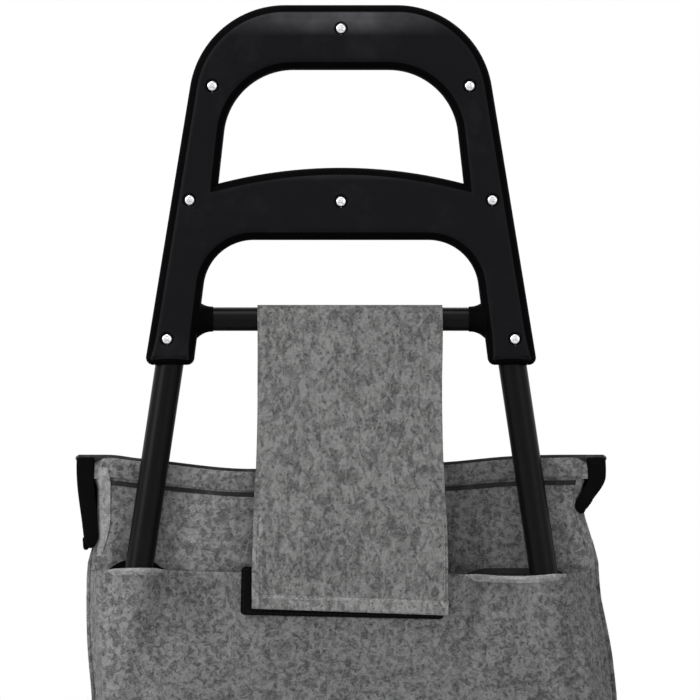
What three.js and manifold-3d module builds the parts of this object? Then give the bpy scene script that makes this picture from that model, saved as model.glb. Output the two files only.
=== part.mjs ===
// Two-wheel shopping trolley: a splayed tube frame with a moulded double-grip handle, a folding wire platform
// with a foot, two wheels on a fixed axle, and a fabric bag that stands on the platform and hangs from the
// frame's crossbar by a wide fabric loop.
//
// Millimetres, +Z up. The user stands at -Y and the bag lies towards +Y. While it is being built, the
// uprights' centre plane is y = 0 and the floor is z = 0; at the end the whole trolley is shifted so that its
// origin is on the floor, under the middle of its bounding box.

import * as THREE from "three";
import { mergeVertices } from "three/addons/utils/BufferGeometryUtils.js";
import Module from "manifold-3d";

const wasm = await Module();
wasm.setup();

// Fits and stock
const CLEARANCE = 0.3; // gap left between pieces that touch
const OVERRUN = 5; // how far a cutter runs past the piece it cuts
const FABRIC = 2.5; // lined bag fabric
const TAPE = 1.2; // hook-and-loop tape

// Handle: a ladder-shaped moulding in two halves, drawn in the XZ plane
const OVERALL_HEIGHT = 975;
const HANDLE_DEPTH = 30;
const HANDLE_EDGE = 4; // edge rounding
const LEG_OUTER_HALF = 133.5; // half width over the leg ends
const LEG_WIDTH = 32.8;
const OUTER_SPLAY = 0.163; // sideways run per millimetre of drop
const INNER_SPLAY = 0.127;
const LEG_TIP_RADIUS = 5;
const SHOULDER_RADIUS = 65;
const UPPER_GRIP_HEIGHT = 43.5;
const UPPER_WINDOW_HEIGHT = 66.3;
const UPPER_LEG_WIDTH = 25.7; // beside the window's top edge
const UPPER_WINDOW_SPLAY = 0.111;
const UPPER_WINDOW_RADIUS = 47;
const LOWER_GRIP_HEIGHT = 48.7;
const LOWER_GRIP_CROWN = 10.7; // rise of the lower grip's arched top edge
const LOWER_WINDOW_HEIGHT = 45.5; // lower grip to crossbar
const LOWER_WINDOW_RADIUS = 34;
const LEG_TAIL = 31; // leg below the crossbar's centre
const BOSS_LENGTH = 6; // collar that each leg has round the crossbar's end
const BOSS_WALL = 1.5;
const BOSS_RADIUS = 4;

// Handle screws
const SCREW_HEAD_RADIUS = 3.9;
const SCREW_HEAD_HEIGHT = 2.4;
const SCREW_SHANK_RADIUS = 1.9;
const SCREW_LENGTH = 22; // under the head
const SCREW_SIDES = 8;
const SCREW_DOME_SHARE = 0.6;
const SCREW_RECESS_RADIUS = 4.8;
const SCREW_RECESS_DEPTH = 3;
const GRIP_SCREW_DROP = 16; // from the top edge of a grip's moulding to its middle screw
const LOWER_GRIP_SCREW_DROP = 22.9;
const UPPER_SIDE_SCREW_DROP = 54.8; // from the handle's top
const MIDDLE_SIDE_SCREW_DROP = 22; // from the lower grip's top
const LOWER_SIDE_SCREW_RISE = 17.5; // from the leg ends
const UPPER_SIDE_SCREW_INSET = 15.9; // from the outer edge
const LOWER_SIDE_SCREW_INSET = 13.2; // middle and lower screws, from the outer edge

// Uprights and crossbar
const TUBE_RADIUS = 9.5;
const TUBE_WALL = 1.2;
const TUBE_SPLAY = 0.15;
const TUBE_LEG_INSET = 16.6; // from a leg's outer edge to its upright's centre, at the leg end
const TUBE_BAG_INSET = 13; // from the bag's side to the centre of an upright's straight lower run
const TUBE_INSERT = 130; // length inside a leg, measured upwards
const TUBE_BEND_RADIUS = 180;
const TUBE_SIDES = 16;
const TUBE_FOOT_GAP = 14; // between the axle's centre and an upright's lower end
const BAR_RADIUS = 8;
const BAR_WALL = 1.2;
const BRACE_RISE = 20; // lower brace above the axle brackets
const BRACE_RADIUS = 8;

// Wheels and axle
const TYRE_RADIUS = 80;
const TYRE_WIDTH = 26;
const TYRE_THICKNESS = 18;
const TYRE_SHOULDER = 3;
const TYRE_GROOVE_DEPTH = 1.2;
const TYRE_GROOVE_WIDTH = 3;
const WHEEL_SIDES = 32;
const RIM_WIDTH = 22;
const RIM_THICKNESS = 6;
const WEB_THICKNESS = 5;
const HUB_RADIUS = 14;
const HUB_LENGTH = 32;
const BUSH_RADIUS = 8;
const AXLE_RADIUS = 5;
const SPOKES = 6;
const SPOKE_WIDTH = 11;
const WINDOW_CORNER = 5;
const WINDOW_MARGIN = 5; // web left between a window and the hub or rim
const CAP_RADIUS = 9;
const CAP_LENGTH = 8;
const CAP_WALL = 3;
const CAP_DOME_SHARE = 0.7;
const SPACER_RADIUS = 8.5;

// Axle brackets and the platform's pivot
const BRACKET_WALL = 2.3;
const BRACKET_HEIGHT = 99;
const BRACKET_BELOW_AXLE = 14;
const BRACKET_COLLAR = 12; // height of the narrow collar at its top
const BRACKET_CORNER = 5;
const BRACKET_EDGE = 1.5;
const PIVOT_RISE = 48; // platform pivot above the axle
const PIVOT_RADIUS = 3;
const PIVOT_HEAD_RADIUS = 6;
const PIVOT_HEAD_HEIGHT = 3.5;
const EAR_THICKNESS = 3;
const EAR_PIVOT_RADIUS = 12;
const EAR_REACH = 62; // how far the ear runs along the platform's arm
const EAR_CROWN_SHARE = 0.95; // its rounding over the pivot, of the pivot radius
const EAR_TIP_SHARE = 0.9; // its rounding at the arm, of the arm's radius
const EAR_HEEL_SHARE = 1.6; // how far its heel and rear edge reach below the pivot, of the pivot radius
const EAR_REAR_SHARE = 0.7;
const EAR_SIDE_GAP = 2; // between the bag's side and the ear
const STOP_LENGTH = 7;
const STOP_HEIGHT = 9;

// Folding platform and foot
const ARM_RADIUS = 5;
const ARM_CORNER = 32;
const ARM_BACK_GAP = 7; // between the bag's back face and the arms' rear ends
const FRONT_BAR_INSET = 9; // front bar behind the bag's front face
const WIRE_RADIUS = 3;
const WIRE_COUNT = 4;
const WIRE_START_SHARE = 0.75; // rear arm end to the first wire, of the wires' pitch
const FOOT_INSET = 48; // foot loop behind the bag's front face
const FOOT_CORNER = 24;
const FOOT_PAD_LENGTH = 38;
const FOOT_PAD_DEPTH = 24;
const FOOT_PAD_HEIGHT = 17;
const FOOT_PAD_ROUND_SHARE = 0.4;
const FOOT_PAD_OFFSET = 58; // in from the foot loop's leg
const FOOT_BAR_Z = 10;
const ROD_SIDES = 10;

// Bag
const BAG_EASE = 4; // between the uprights' front and the bag's back panel
const BAG_BASE_GAP = 17.3; // bag floor above the axle
const BAG_RIM_DROP = 62; // rim below the handle's leg ends
const BAG_DEPTH = 220;
const BAG_BASE_HALF = 165;
const BAG_RIM_FLARE = 1; // each side
const BAG_SIDE_BELLY = 12;
const BAG_FRONT_BELLY = 6;
const BAG_FRONT_CROWN = 7; // extra bulge along the middle of the front panel
const BAG_REAR_CORNER = 10;
const BAG_FRONT_CORNER = 28;
const BAG_FOOT_ROUND = 6;
const FRONT_PANEL_POINTS = 5;
const BAG_RING_SHARES = [0.01, 0.08, 0.22, 0.38, 0.54, 0.7, 0.84, 0.93, 1];
const BOARD_THICKNESS = 3;
const BOARD_MARGIN = 6;

// Rear sleeve that the uprights run through
const SLEEVE_EASE = 2.5;
const SLEEVE_MOUTH_DROP = 78; // below the rim
const SLEEVE_MOUTH_INSET = 3; // each side, from its full width
const SLEEVE_TAPER_SHARE = 0.2; // share of its height over which it narrows to the mouth
const SLEEVE_CORNER = 9;
const SLEEVE_BASE_GAP = 5; // its lower hem above the axle brackets

// Front pocket
const POCKET_SIDE_MARGIN = 47; // to the bag's side
const POCKET_DEPTH = 14;
const POCKET_BASE_SHARE = 0.12;
const POCKET_TOP_SHARE = 0.55;
const POCKET_EDGE_SHARE = 0.55; // its depth at the side seams, of its full depth
const POCKET_COLUMNS = 11;

// Lid
const LID_BACK_GAP = 3; // lid's rear edge in front of the bag's back face
const LID_SKIRT = 56;
const LID_TOP_EASE = 12; // each side, beyond the bag's rim
const LID_HEM_EASE = 8.5;
const LID_EDGE = 2.2;
const BINDING_WIDTH = 4.8;
const BINDING_DEPTH = 3;
const CLOSURE_HALF = 30;
const CLOSURE_HEIGHT = 25;
const CLOSURE_DROP = 20;

// Hanging loop over the crossbar
const LOOP_OFFSET = 6; // it has slid this far to the user's right
const LOOP_TOP_HALF = 62.5;
const LOOP_END_HALF = 66;
const LOOP_TAB_OVERLAP = 28; // free end below the sleeve's mouth
const LOOP_SEAM = 30; // overlap on the bag's back panel
const LOOP_PIVOT_GAP = 0.7;
const PATCH_HEIGHT = 33;
const PATCH_SIDE_OVERHANG = 5;
const PATCH_END_OVERHANG = 5;
const HOOK_PATCH_MARGIN = 4;

// Derived places
const UPPER_WINDOW_TOP = OVERALL_HEIGHT - UPPER_GRIP_HEIGHT;
const LOWER_GRIP_TOP = UPPER_WINDOW_TOP - UPPER_WINDOW_HEIGHT;
const LOWER_GRIP_BASE = LOWER_GRIP_TOP - LOWER_GRIP_HEIGHT;
const BAR_Z = LOWER_GRIP_BASE - LOWER_WINDOW_HEIGHT - BAR_RADIUS;
const LEG_END_Z = BAR_Z - LEG_TAIL;
const AXLE_Z = TYRE_RADIUS * Math.cos(Math.PI / WHEEL_SIDES); // the tyres rest on a flat facet
const PIVOT_Z = AXLE_Z + PIVOT_RISE;
const BAG_BASE_Z = AXLE_Z + BAG_BASE_GAP;
const RIM_Z = LEG_END_Z - BAG_RIM_DROP;
const BAG_HEIGHT = RIM_Z - BAG_BASE_Z;
const BAG_RIM_HALF = BAG_BASE_HALF + BAG_RIM_FLARE;
const LOWER_TUBE_HALF = BAG_BASE_HALF - TUBE_BAG_INSET;
const TUBE_HALF_AT_LEG = LEG_OUTER_HALF - TUBE_LEG_INSET;
const TYRE_BEAD_RADIUS = TYRE_RADIUS - TYRE_THICKNESS;
const BAG_BACK_Y = TUBE_RADIUS + BAG_EASE;
const BAG_FRONT_Y = BAG_BACK_Y + BAG_DEPTH;
const EAR_X = BAG_BASE_HALF + EAR_SIDE_GAP * 2; // inner face of the ear
const ARM_X = EAR_X - CLEARANCE - ARM_RADIUS;
const ARM_Z = BAG_BASE_Z - CLEARANCE - ARM_RADIUS;
const WHEEL_INNER_X = EAR_X + EAR_THICKNESS + PIVOT_HEAD_HEIGHT + 3 * CLEARANCE;
const WHEEL_X = WHEEL_INNER_X + HUB_LENGTH / 2;
const SLEEVE_BACK_Y = -(TUBE_RADIUS + SLEEVE_EASE + FABRIC);
const BRACKET_BASE_Z = AXLE_Z - BRACKET_BELOW_AXLE;
const BRACKET_TOP_Z = BRACKET_BASE_Z + BRACKET_HEIGHT;
const BRACE_Z = BRACKET_TOP_Z + BRACE_RISE;
const MOUTH_Z = RIM_Z - SLEEVE_MOUTH_DROP;

// Finishes
const paint = (color, roughness, metalness) => new THREE.MeshStandardMaterial({ color, roughness, metalness });
const blackPlastic = paint(0x1b1a1e, 0.5, 0);
const blackPaint = paint(0x161616, 0.35, 0.3);
const zinc = paint(0xc9cdd2, 0.3, 1);
const greyWheel = paint(0x2a2a2c, 0.55, 0);
const tyreRubber = paint(0x151515, 0.85, 0);
const nylon = paint(0xd8d6cf, 0.5, 0);
const melange = paint(0x747473, 0.95, 0);
const blackTape = paint(0x111111, 0.9, 0);

// Vectors
const at = (x, y, z) => new THREE.Vector3(x, y, z);
const flat = (x, y) => new THREE.Vector3(x, y, 0);
const X_AXIS = at(1, 0, 0);
const Y_AXIS = at(0, 1, 0);
const Z_AXIS = at(0, 0, 1);

const FINE_ARC = THREE.MathUtils.degToRad(13);
const COARSE_ARC = THREE.MathUtils.degToRad(30);
const FINE_RADIUS_FROM = 15;

// The points of one rounded corner at b, between a and c.
function cornerPoints(a, b, c, radius) {
  const back = a.clone().sub(b).normalize();
  const ahead = c.clone().sub(b).normalize();
  const opening = back.angleTo(ahead);
  const turn = Math.PI - opening;
  if (!radius || turn < 1e-6) return [b.clone()];
  const tangent = radius / Math.tan(opening / 2);
  const centre = back.clone().add(ahead).normalize().multiplyScalar(radius / Math.sin(opening / 2)).add(b);
  const from = b.clone().addScaledVector(back, tangent).sub(centre);
  const to = b.clone().addScaledVector(ahead, tangent).sub(centre);
  const steps = Math.max(2, Math.ceil(turn / (radius >= FINE_RADIUS_FROM ? FINE_ARC : COARSE_ARC)));
  const arc = [];
  for (let i = 0; i <= steps; i++) {
    const share = i / steps;
    const start = Math.sin((1 - share) * turn) / Math.sin(turn);
    const end = Math.sin(share * turn) / Math.sin(turn);
    arc.push(centre.clone().addScaledVector(from, start).addScaledVector(to, end));
  }
  return arc;
}

// An open path through the corners, each given as [point, bend radius].
function bentPath(corners) {
  return corners.flatMap(([point, radius], i) =>
    i === 0 || i === corners.length - 1
      ? [point.clone()]
      : cornerPoints(corners[i - 1][0], point, corners[i + 1][0], radius),
  );
}

// The points of a closed outline through the corners, each given as [x, y, corner radius].
function outlinePoints(corners) {
  const points = corners.map(([x, y]) => flat(x, y));
  const count = points.length;
  return corners.flatMap(([, , radius], i) =>
    cornerPoints(points[(i + count - 1) % count], points[i], points[(i + 1) % count], radius),
  );
}

// A shape's outline has to run anticlockwise for its holes to be turned the right way round.
function shapeOf(points) {
  const outline = points.map((p) => new THREE.Vector2(p.x, p.y));
  return new THREE.Shape(THREE.ShapeUtils.isClockWise(outline) ? outline.reverse() : outline);
}

// A geometry's solid, with its shared vertices merged.
function solidOf(geometry) {
  const bare = new THREE.BufferGeometry().setAttribute("position", geometry.getAttribute("position"));
  if (geometry.index) bare.setIndex(geometry.index);
  const merged = mergeVertices(bare, 1e-4);
  return new wasm.Manifold(
    new wasm.Mesh({
      numProp: 3,
      vertProperties: merged.attributes.position.array,
      triVerts: new Uint32Array(merged.index.array),
    }),
  );
}

function geometryOf(solid) {
  const mesh = solid.getMesh();
  return new THREE.BufferGeometry()
    .setAttribute("position", new THREE.BufferAttribute(new Float32Array(mesh.vertProperties), 3))
    .setIndex(new THREE.BufferAttribute(new Uint32Array(mesh.triVerts), 1));
}

const cut = (body, ...tools) =>
  geometryOf(tools.reduce((left, tool) => left.subtract(solidOf(tool)), solidOf(body)));
const join = (...bodies) => geometryOf(bodies.map(solidOf).reduce((sum, next) => sum.add(next)));
const common = (a, b) => geometryOf(solidOf(a).intersect(solidOf(b)));

// A ring's points in its own plane.
function flattened(ring) {
  const normal = at(0, 0, 0);
  ring.forEach((p, i) => normal.add(p.clone().cross(ring[(i + 1) % ring.length])));
  normal.normalize();
  const u = Math.abs(normal.z) > 0.9 ? X_AXIS.clone() : Z_AXIS.clone();
  u.addScaledVector(normal, -u.dot(normal)).normalize();
  const v = normal.clone().cross(u);
  return ring.map((p) => new THREE.Vector2(p.dot(u), p.dot(v)));
}

// A closed solid through matching rings of points: its ends are capped, or joined to each other when looped.
function skin(rings, looped = false) {
  const size = rings[0].length;
  const faces = [];
  const spans = looped ? rings.length : rings.length - 1;
  for (let i = 0; i < spans; i++) {
    const a = i * size;
    const b = ((i + 1) % rings.length) * size;
    for (let k = 0; k < size; k++) {
      const next = (k + 1) % size;
      faces.push([a + k, a + next, b + next], [a + k, b + next, b + k]);
    }
  }
  const addCap = (ring, first, forwards) => {
    const points = flattened(ring);
    for (const [p, q, r] of THREE.ShapeUtils.triangulateShape(points, [])) {
      const along = THREE.ShapeUtils.area([points[p], points[q], points[r]]) > 0;
      faces.push(along === forwards ? [first + p, first + q, first + r] : [first + p, first + r, first + q]);
    }
  };
  if (!looped) {
    addCap(rings[0], 0, false);
    addCap(rings.at(-1), (rings.length - 1) * size, true);
  }
  const points = rings.flat();
  const volume = faces.reduce((sum, [p, q, r]) => sum + points[p].dot(points[q].clone().cross(points[r])), 0);
  const index = volume > 0 ? faces.flat() : faces.flatMap(([p, q, r]) => [p, r, q]);
  return new THREE.BufferGeometry().setFromPoints(points).setIndex(index);
}

// A plate with the given outline in its own XY plane, centred on z = 0, with rounded edges.
function plate(points, thickness, edge = 0, holes = []) {
  const shape = shapeOf(points);
  shape.holes = holes.map((hole) => new THREE.Path(hole.map((p) => new THREE.Vector2(p.x, p.y))));
  const body = thickness - 2 * edge;
  const geometry = new THREE.ExtrudeGeometry(shape, {
    depth: body,
    bevelEnabled: edge > 0,
    bevelThickness: edge,
    bevelSize: edge,
    bevelOffset: -edge,
    bevelSegments: 2,
  });
  return geometry.translate(0, 0, -body / 2);
}

// Outline x becomes X and outline y becomes Z; the thickness lies along Y.
const facingBack = (geometry) => geometry.rotateX(Math.PI / 2);
// Outline x becomes Y and outline y becomes Z; the thickness lies along X.
const facingSide = (geometry) => geometry.rotateX(Math.PI / 2).rotateZ(Math.PI / 2);

// A round bar or tube along a path that lies in the plane with this normal.
function sweep(path, normal, radius, bore = 0, sides = ROD_SIDES) {
  const ringsOf = (r) =>
    path.map((point, i) => {
      const before = path[Math.max(i - 1, 0)];
      const after = path[Math.min(i + 1, path.length - 1)];
      const across = after.clone().sub(before).normalize().cross(normal);
      return Array.from({ length: sides }, (_, k) => {
        const angle = (2 * Math.PI * (k + 0.5)) / sides;
        return point
          .clone()
          .addScaledVector(across, r * Math.cos(angle))
          .addScaledVector(normal, r * Math.sin(angle));
      });
    });
  return bore ? skin([...ringsOf(radius), ...ringsOf(bore).reverse()], true) : skin(ringsOf(radius));
}

const CYLINDER_SIDES = 16;

// A round rod between two places on an axis through point.
function rod(axis, point, from, to, radius, sides = CYLINDER_SIDES) {
  const geometry = new THREE.CylinderGeometry(radius, radius, to - from, sides);
  geometry.translate(0, (from + to) / 2, 0);
  if (axis === X_AXIS) geometry.rotateZ(-Math.PI / 2);
  if (axis === Z_AXIS) geometry.rotateX(Math.PI / 2);
  return geometry.translate(point.x, point.y, point.z);
}

// The same geometry with its shared vertices merged and its faces turned out.
function facingOut(geometry) {
  const solid = solidOf(geometry);
  if (solid.volume() > 0) return geometryOf(solid);
  const index = geometry.index.array.slice();
  for (let i = 0; i < index.length; i += 3) [index[i + 1], index[i + 2]] = [index[i + 2], index[i + 1]];
  return geometryOf(solidOf(geometry.clone().setIndex(new THREE.BufferAttribute(index, 1))));
}

// A piece turned about the X axis from [radius, x] pairs, closed onto itself unless it starts on the axis.
function turned(profile, sides, centre) {
  const closed = profile[0][0] === 0 ? profile : [...profile, profile[0]];
  const points = closed.map(([r, x]) => new THREE.Vector2(r, x));
  const geometry = facingOut(new THREE.LatheGeometry(points, sides, Math.PI / sides));
  return geometry.rotateZ(-Math.PI / 2).translate(centre.x, centre.y, centre.z);
}

const trolley = new THREE.Group();

function add(name, geometry, material) {
  const mesh = new THREE.Mesh(geometry, material);
  mesh.name = name;
  trolley.add(mesh);
  return mesh;
}

// A piece on the right, and its mirror image on the left.
function addPair(name, geometry, material) {
  add("right_" + name, geometry, material);
  add("left_" + name, geometry, material).scale.x = -1;
}

// Handle

const legOuterX = (z) => LEG_OUTER_HALF - OUTER_SPLAY * (z - LEG_END_Z);
const legInnerX = (z) => LEG_OUTER_HALF - LEG_WIDTH - INNER_SPLAY * (z - LEG_END_Z);
const tubeX = (z) => TUBE_HALF_AT_LEG - TUBE_SPLAY * (z - LEG_END_Z);
const mirrored = (corners) => corners.map(([x, ...rest]) => [-x, ...rest]).reverse();

// The ladder's outline: round shoulders, splayed legs, a collar round the crossbar, and the lower window.
function ladderOutline() {
  const bossHalf = BAR_RADIUS + BOSS_WALL;
  const bossTop = BAR_Z + bossHalf;
  const bossBase = BAR_Z - bossHalf;
  const right = [
    [legOuterX(OVERALL_HEIGHT), OVERALL_HEIGHT, SHOULDER_RADIUS],
    [legOuterX(LEG_END_Z), LEG_END_Z, LEG_TIP_RADIUS],
    [legInnerX(LEG_END_Z), LEG_END_Z, LEG_TIP_RADIUS],
    [legInnerX(bossBase), bossBase, BOSS_RADIUS],
    [legInnerX(bossBase) - BOSS_LENGTH, bossBase, 0],
    [legInnerX(bossTop) - BOSS_LENGTH, bossTop, 0],
    [legInnerX(bossTop), bossTop, BOSS_RADIUS],
    [legInnerX(LOWER_GRIP_BASE), LOWER_GRIP_BASE, LOWER_WINDOW_RADIUS],
  ];
  return outlinePoints([...right, ...mirrored(right)]);
}

// The upper window: round top corners, splayed sides, and the lower grip's arch as its bottom edge.
function upperWindowOutline() {
  const topHalf = legOuterX(UPPER_WINDOW_TOP) - UPPER_LEG_WIDTH;
  const baseHalf = topHalf + UPPER_WINDOW_SPLAY * (UPPER_WINDOW_HEIGHT + LOWER_GRIP_CROWN);
  const archRadius = (baseHalf ** 2 + LOWER_GRIP_CROWN ** 2) / (2 * LOWER_GRIP_CROWN);
  const archSteps = 10;
  const reach = Math.asin(baseHalf / archRadius);
  const arch = Array.from({ length: archSteps + 1 }, (_, i) => {
    const angle = reach * (1 - (2 * i) / archSteps);
    return flat(archRadius * Math.sin(angle), LOWER_GRIP_TOP - archRadius * (1 - Math.cos(angle)));
  });
  const topRight = flat(topHalf, UPPER_WINDOW_TOP);
  const topLeft = flat(-topHalf, UPPER_WINDOW_TOP);
  return [
    ...cornerPoints(arch.at(-1), topLeft, topRight, UPPER_WINDOW_RADIUS),
    ...cornerPoints(topLeft, topRight, arch[0], UPPER_WINDOW_RADIUS),
    ...arch,
  ];
}

// Places of the eight screws, as [name, x, z].
function screwPlaces() {
  const places = [
    ["upper_grip_screw", 0, OVERALL_HEIGHT - GRIP_SCREW_DROP],
    ["lower_grip_screw", 0, LOWER_GRIP_TOP - LOWER_GRIP_SCREW_DROP],
  ];
  const levels = [
    ["upper", OVERALL_HEIGHT - UPPER_SIDE_SCREW_DROP, UPPER_SIDE_SCREW_INSET],
    ["middle", LOWER_GRIP_TOP - MIDDLE_SIDE_SCREW_DROP, LOWER_SIDE_SCREW_INSET],
    ["lower", LEG_END_Z + LOWER_SIDE_SCREW_RISE, LOWER_SIDE_SCREW_INSET],
  ];
  for (const [level, z, inset] of levels) {
    const x = legOuterX(z) - inset;
    places.push([`right_${level}_screw`, x, z], [`left_${level}_screw`, -x, z]);
  }
  return places;
}

const screwSeatY = -HANDLE_DEPTH / 2 + SCREW_RECESS_DEPTH;

// The uprights' upper runs, as cutters or as stock, on the side that sign names.
function uprightPath(sign, extra = 0) {
  const top = LEG_END_Z + TUBE_INSERT + extra;
  const bendZ = LEG_END_Z - (LOWER_TUBE_HALF - TUBE_HALF_AT_LEG) / TUBE_SPLAY;
  const foot = AXLE_Z + TUBE_FOOT_GAP - extra;
  return bentPath([
    [at(sign * tubeX(top), 0, top), 0],
    [at(sign * LOWER_TUBE_HALF, 0, bendZ), TUBE_BEND_RADIUS],
    [at(sign * LOWER_TUBE_HALF, 0, foot), 0],
  ]);
}

const tubeCutter = (sign) =>
  sweep(uprightPath(sign, CLEARANCE), Y_AXIS, TUBE_RADIUS + CLEARANCE, 0, TUBE_SIDES);

// The crossbar stops just short of the uprights, inside the legs' collars.
const barHalf =
  tubeX(BAR_Z) - TUBE_RADIUS * Math.hypot(1, TUBE_SPLAY) - TUBE_SPLAY * BAR_RADIUS - 2 * CLEARANCE;

function addHandle() {
  const window = upperWindowOutline();
  const whole = facingBack(plate(ladderOutline(), HANDLE_DEPTH, HANDLE_EDGE, [window]));
  const barCutterHalf = barHalf + CLEARANCE;
  const barCutter = rod(X_AXIS, at(0, 0, BAR_Z), -barCutterHalf, barCutterHalf, BAR_RADIUS + CLEARANCE);
  const hollowed = cut(whole, tubeCutter(1), tubeCutter(-1), barCutter);
  const half = HANDLE_DEPTH / 2;
  const width = 2 * LEG_OUTER_HALF + 2 * OVERRUN;
  const halfSpace = (side) =>
    new THREE.BoxGeometry(width, half + OVERRUN, OVERALL_HEIGHT - LEG_END_Z + 2 * OVERRUN).translate(
      0,
      side * ((half + OVERRUN) / 2 + CLEARANCE / 2),
      (OVERALL_HEIGHT + LEG_END_Z) / 2,
    );
  const places = screwPlaces();
  const shankRadius = SCREW_SHANK_RADIUS + CLEARANCE;
  const rearTools = places.flatMap(([, x, z]) => [
    rod(Y_AXIS, at(x, 0, z), -half - OVERRUN, screwSeatY, SCREW_RECESS_RADIUS, SCREW_SIDES),
    rod(Y_AXIS, at(x, 0, z), -half - OVERRUN, OVERRUN, shankRadius, SCREW_SIDES),
  ]);
  const frontTools = places.map(([, x, z]) =>
    rod(Y_AXIS, at(x, 0, z), -OVERRUN, screwSeatY + SCREW_LENGTH + CLEARANCE, shankRadius, SCREW_SIDES),
  );
  add("handle_rear_shell", cut(common(hollowed, halfSpace(-1)), ...rearTools), blackPlastic);
  add("handle_front_shell", cut(common(hollowed, halfSpace(1)), ...frontTools), blackPlastic);
  places.forEach(([name, x, z]) => add(name, screwGeometry(x, z), zinc));
}

// A pan-head screw, its head towards the user.
function screwGeometry(x, z) {
  const seat = screwSeatY - CLEARANCE;
  const profile = [
    [0, seat + SCREW_LENGTH],
    [SCREW_SHANK_RADIUS, seat + SCREW_LENGTH - SCREW_SHANK_RADIUS],
    [SCREW_SHANK_RADIUS, seat],
    [SCREW_HEAD_RADIUS, seat],
    [SCREW_HEAD_RADIUS, seat - SCREW_HEAD_HEIGHT / 2],
    [SCREW_HEAD_RADIUS * SCREW_DOME_SHARE, seat - SCREW_HEAD_HEIGHT],
    [0, seat - SCREW_HEAD_HEIGHT],
  ].map(([r, y]) => new THREE.Vector2(r, y));
  return facingOut(new THREE.LatheGeometry(profile, SCREW_SIDES)).translate(x, 0, z);
}

// Frame

function addFrame() {
  const barPath = [at(-barHalf, 0, BAR_Z), at(barHalf, 0, BAR_Z)];
  add("crossbar", sweep(barPath, Y_AXIS, BAR_RADIUS, BAR_RADIUS - BAR_WALL, TUBE_SIDES), blackPaint);
  const half = HANDLE_DEPTH / 2;
  for (const [side, sign] of [["right", 1], ["left", -1]]) {
    const stock = sweep(uprightPath(sign), Y_AXIS, TUBE_RADIUS, TUBE_RADIUS - TUBE_WALL, TUBE_SIDES);
    const screwHoles = screwPlaces()
      .filter(([name]) => name === `${side}_middle_screw` || name === `${side}_lower_screw`)
      .map(([, x, z]) =>
        rod(Y_AXIS, at(x, 0, z), -half, half, SCREW_SHANK_RADIUS + CLEARANCE, SCREW_SIDES),
      );
    const pivotHole = rod(
      X_AXIS,
      at(sign * LOWER_TUBE_HALF, 0, PIVOT_Z),
      -TUBE_RADIUS - OVERRUN,
      TUBE_RADIUS + OVERRUN,
      PIVOT_RADIUS + CLEARANCE,
      SCREW_SIDES,
    );
    add(`${side}_upright`, cut(stock, ...screwHoles, pivotHole), blackPaint);
  }
  const brace = rod(X_AXIS, at(0, 0, BRACE_Z), -LOWER_TUBE_HALF, LOWER_TUBE_HALF, BRACE_RADIUS, TUBE_SIDES);
  const saddle = (sign) =>
    rod(
      Z_AXIS,
      at(sign * LOWER_TUBE_HALF, 0, BRACE_Z),
      -BRACE_RADIUS - OVERRUN,
      BRACE_RADIUS + OVERRUN,
      TUBE_RADIUS + CLEARANCE,
    );
  add("lower_brace", cut(brace, saddle(1), saddle(-1)), blackPaint);
}

// Brackets, axle and pivots

const wheelCentre = at(0, 0, AXLE_Z);
// The heel is the ear's lower rear edge, which meets the bracket's stop.
const earHeelY = EAR_PIVOT_RADIUS - CLEARANCE * 2;

function bracketGeometry() {
  const inner = LOWER_TUBE_HALF - TUBE_RADIUS - BRACKET_WALL;
  const collar = LOWER_TUBE_HALF + TUBE_RADIUS + BRACKET_WALL;
  const outer = EAR_X - CLEARANCE;
  const base = BRACKET_BASE_Z;
  const top = BRACKET_TOP_Z;
  const shoulder = top - BRACKET_COLLAR;
  const slope = outer - collar;
  const body = facingBack(
    plate(
      outlinePoints([
        [inner, base, BRACKET_CORNER],
        [outer, base, BRACKET_CORNER],
        [outer, shoulder - slope, BRACKET_CORNER / 2],
        [collar, shoulder, BRACKET_CORNER / 2],
        [collar, top, BRACKET_EDGE * 2],
        [inner, top, BRACKET_EDGE * 2],
      ]),
      2 * (BAG_BACK_Y - CLEARANCE),
      BRACKET_EDGE,
    ),
  );
  const stop = new THREE.BoxGeometry(EAR_THICKNESS + BRACKET_CORNER, STOP_LENGTH, STOP_HEIGHT).translate(
    outer + (EAR_THICKNESS - BRACKET_CORNER) / 2,
    earHeelY - CLEARANCE - STOP_LENGTH / 2,
    ARM_Z + STOP_HEIGHT,
  );
  const axleHole = rod(X_AXIS, at(0, 0, AXLE_Z), inner - OVERRUN, outer + OVERRUN, AXLE_RADIUS + CLEARANCE);
  const pivotHole = rod(
    X_AXIS,
    at(0, 0, PIVOT_Z),
    inner - OVERRUN,
    outer + OVERRUN,
    PIVOT_RADIUS + CLEARANCE,
    SCREW_SIDES,
  );
  return cut(join(body, stop), tubeCutter(1), axleHole, pivotHole);
}

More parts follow.
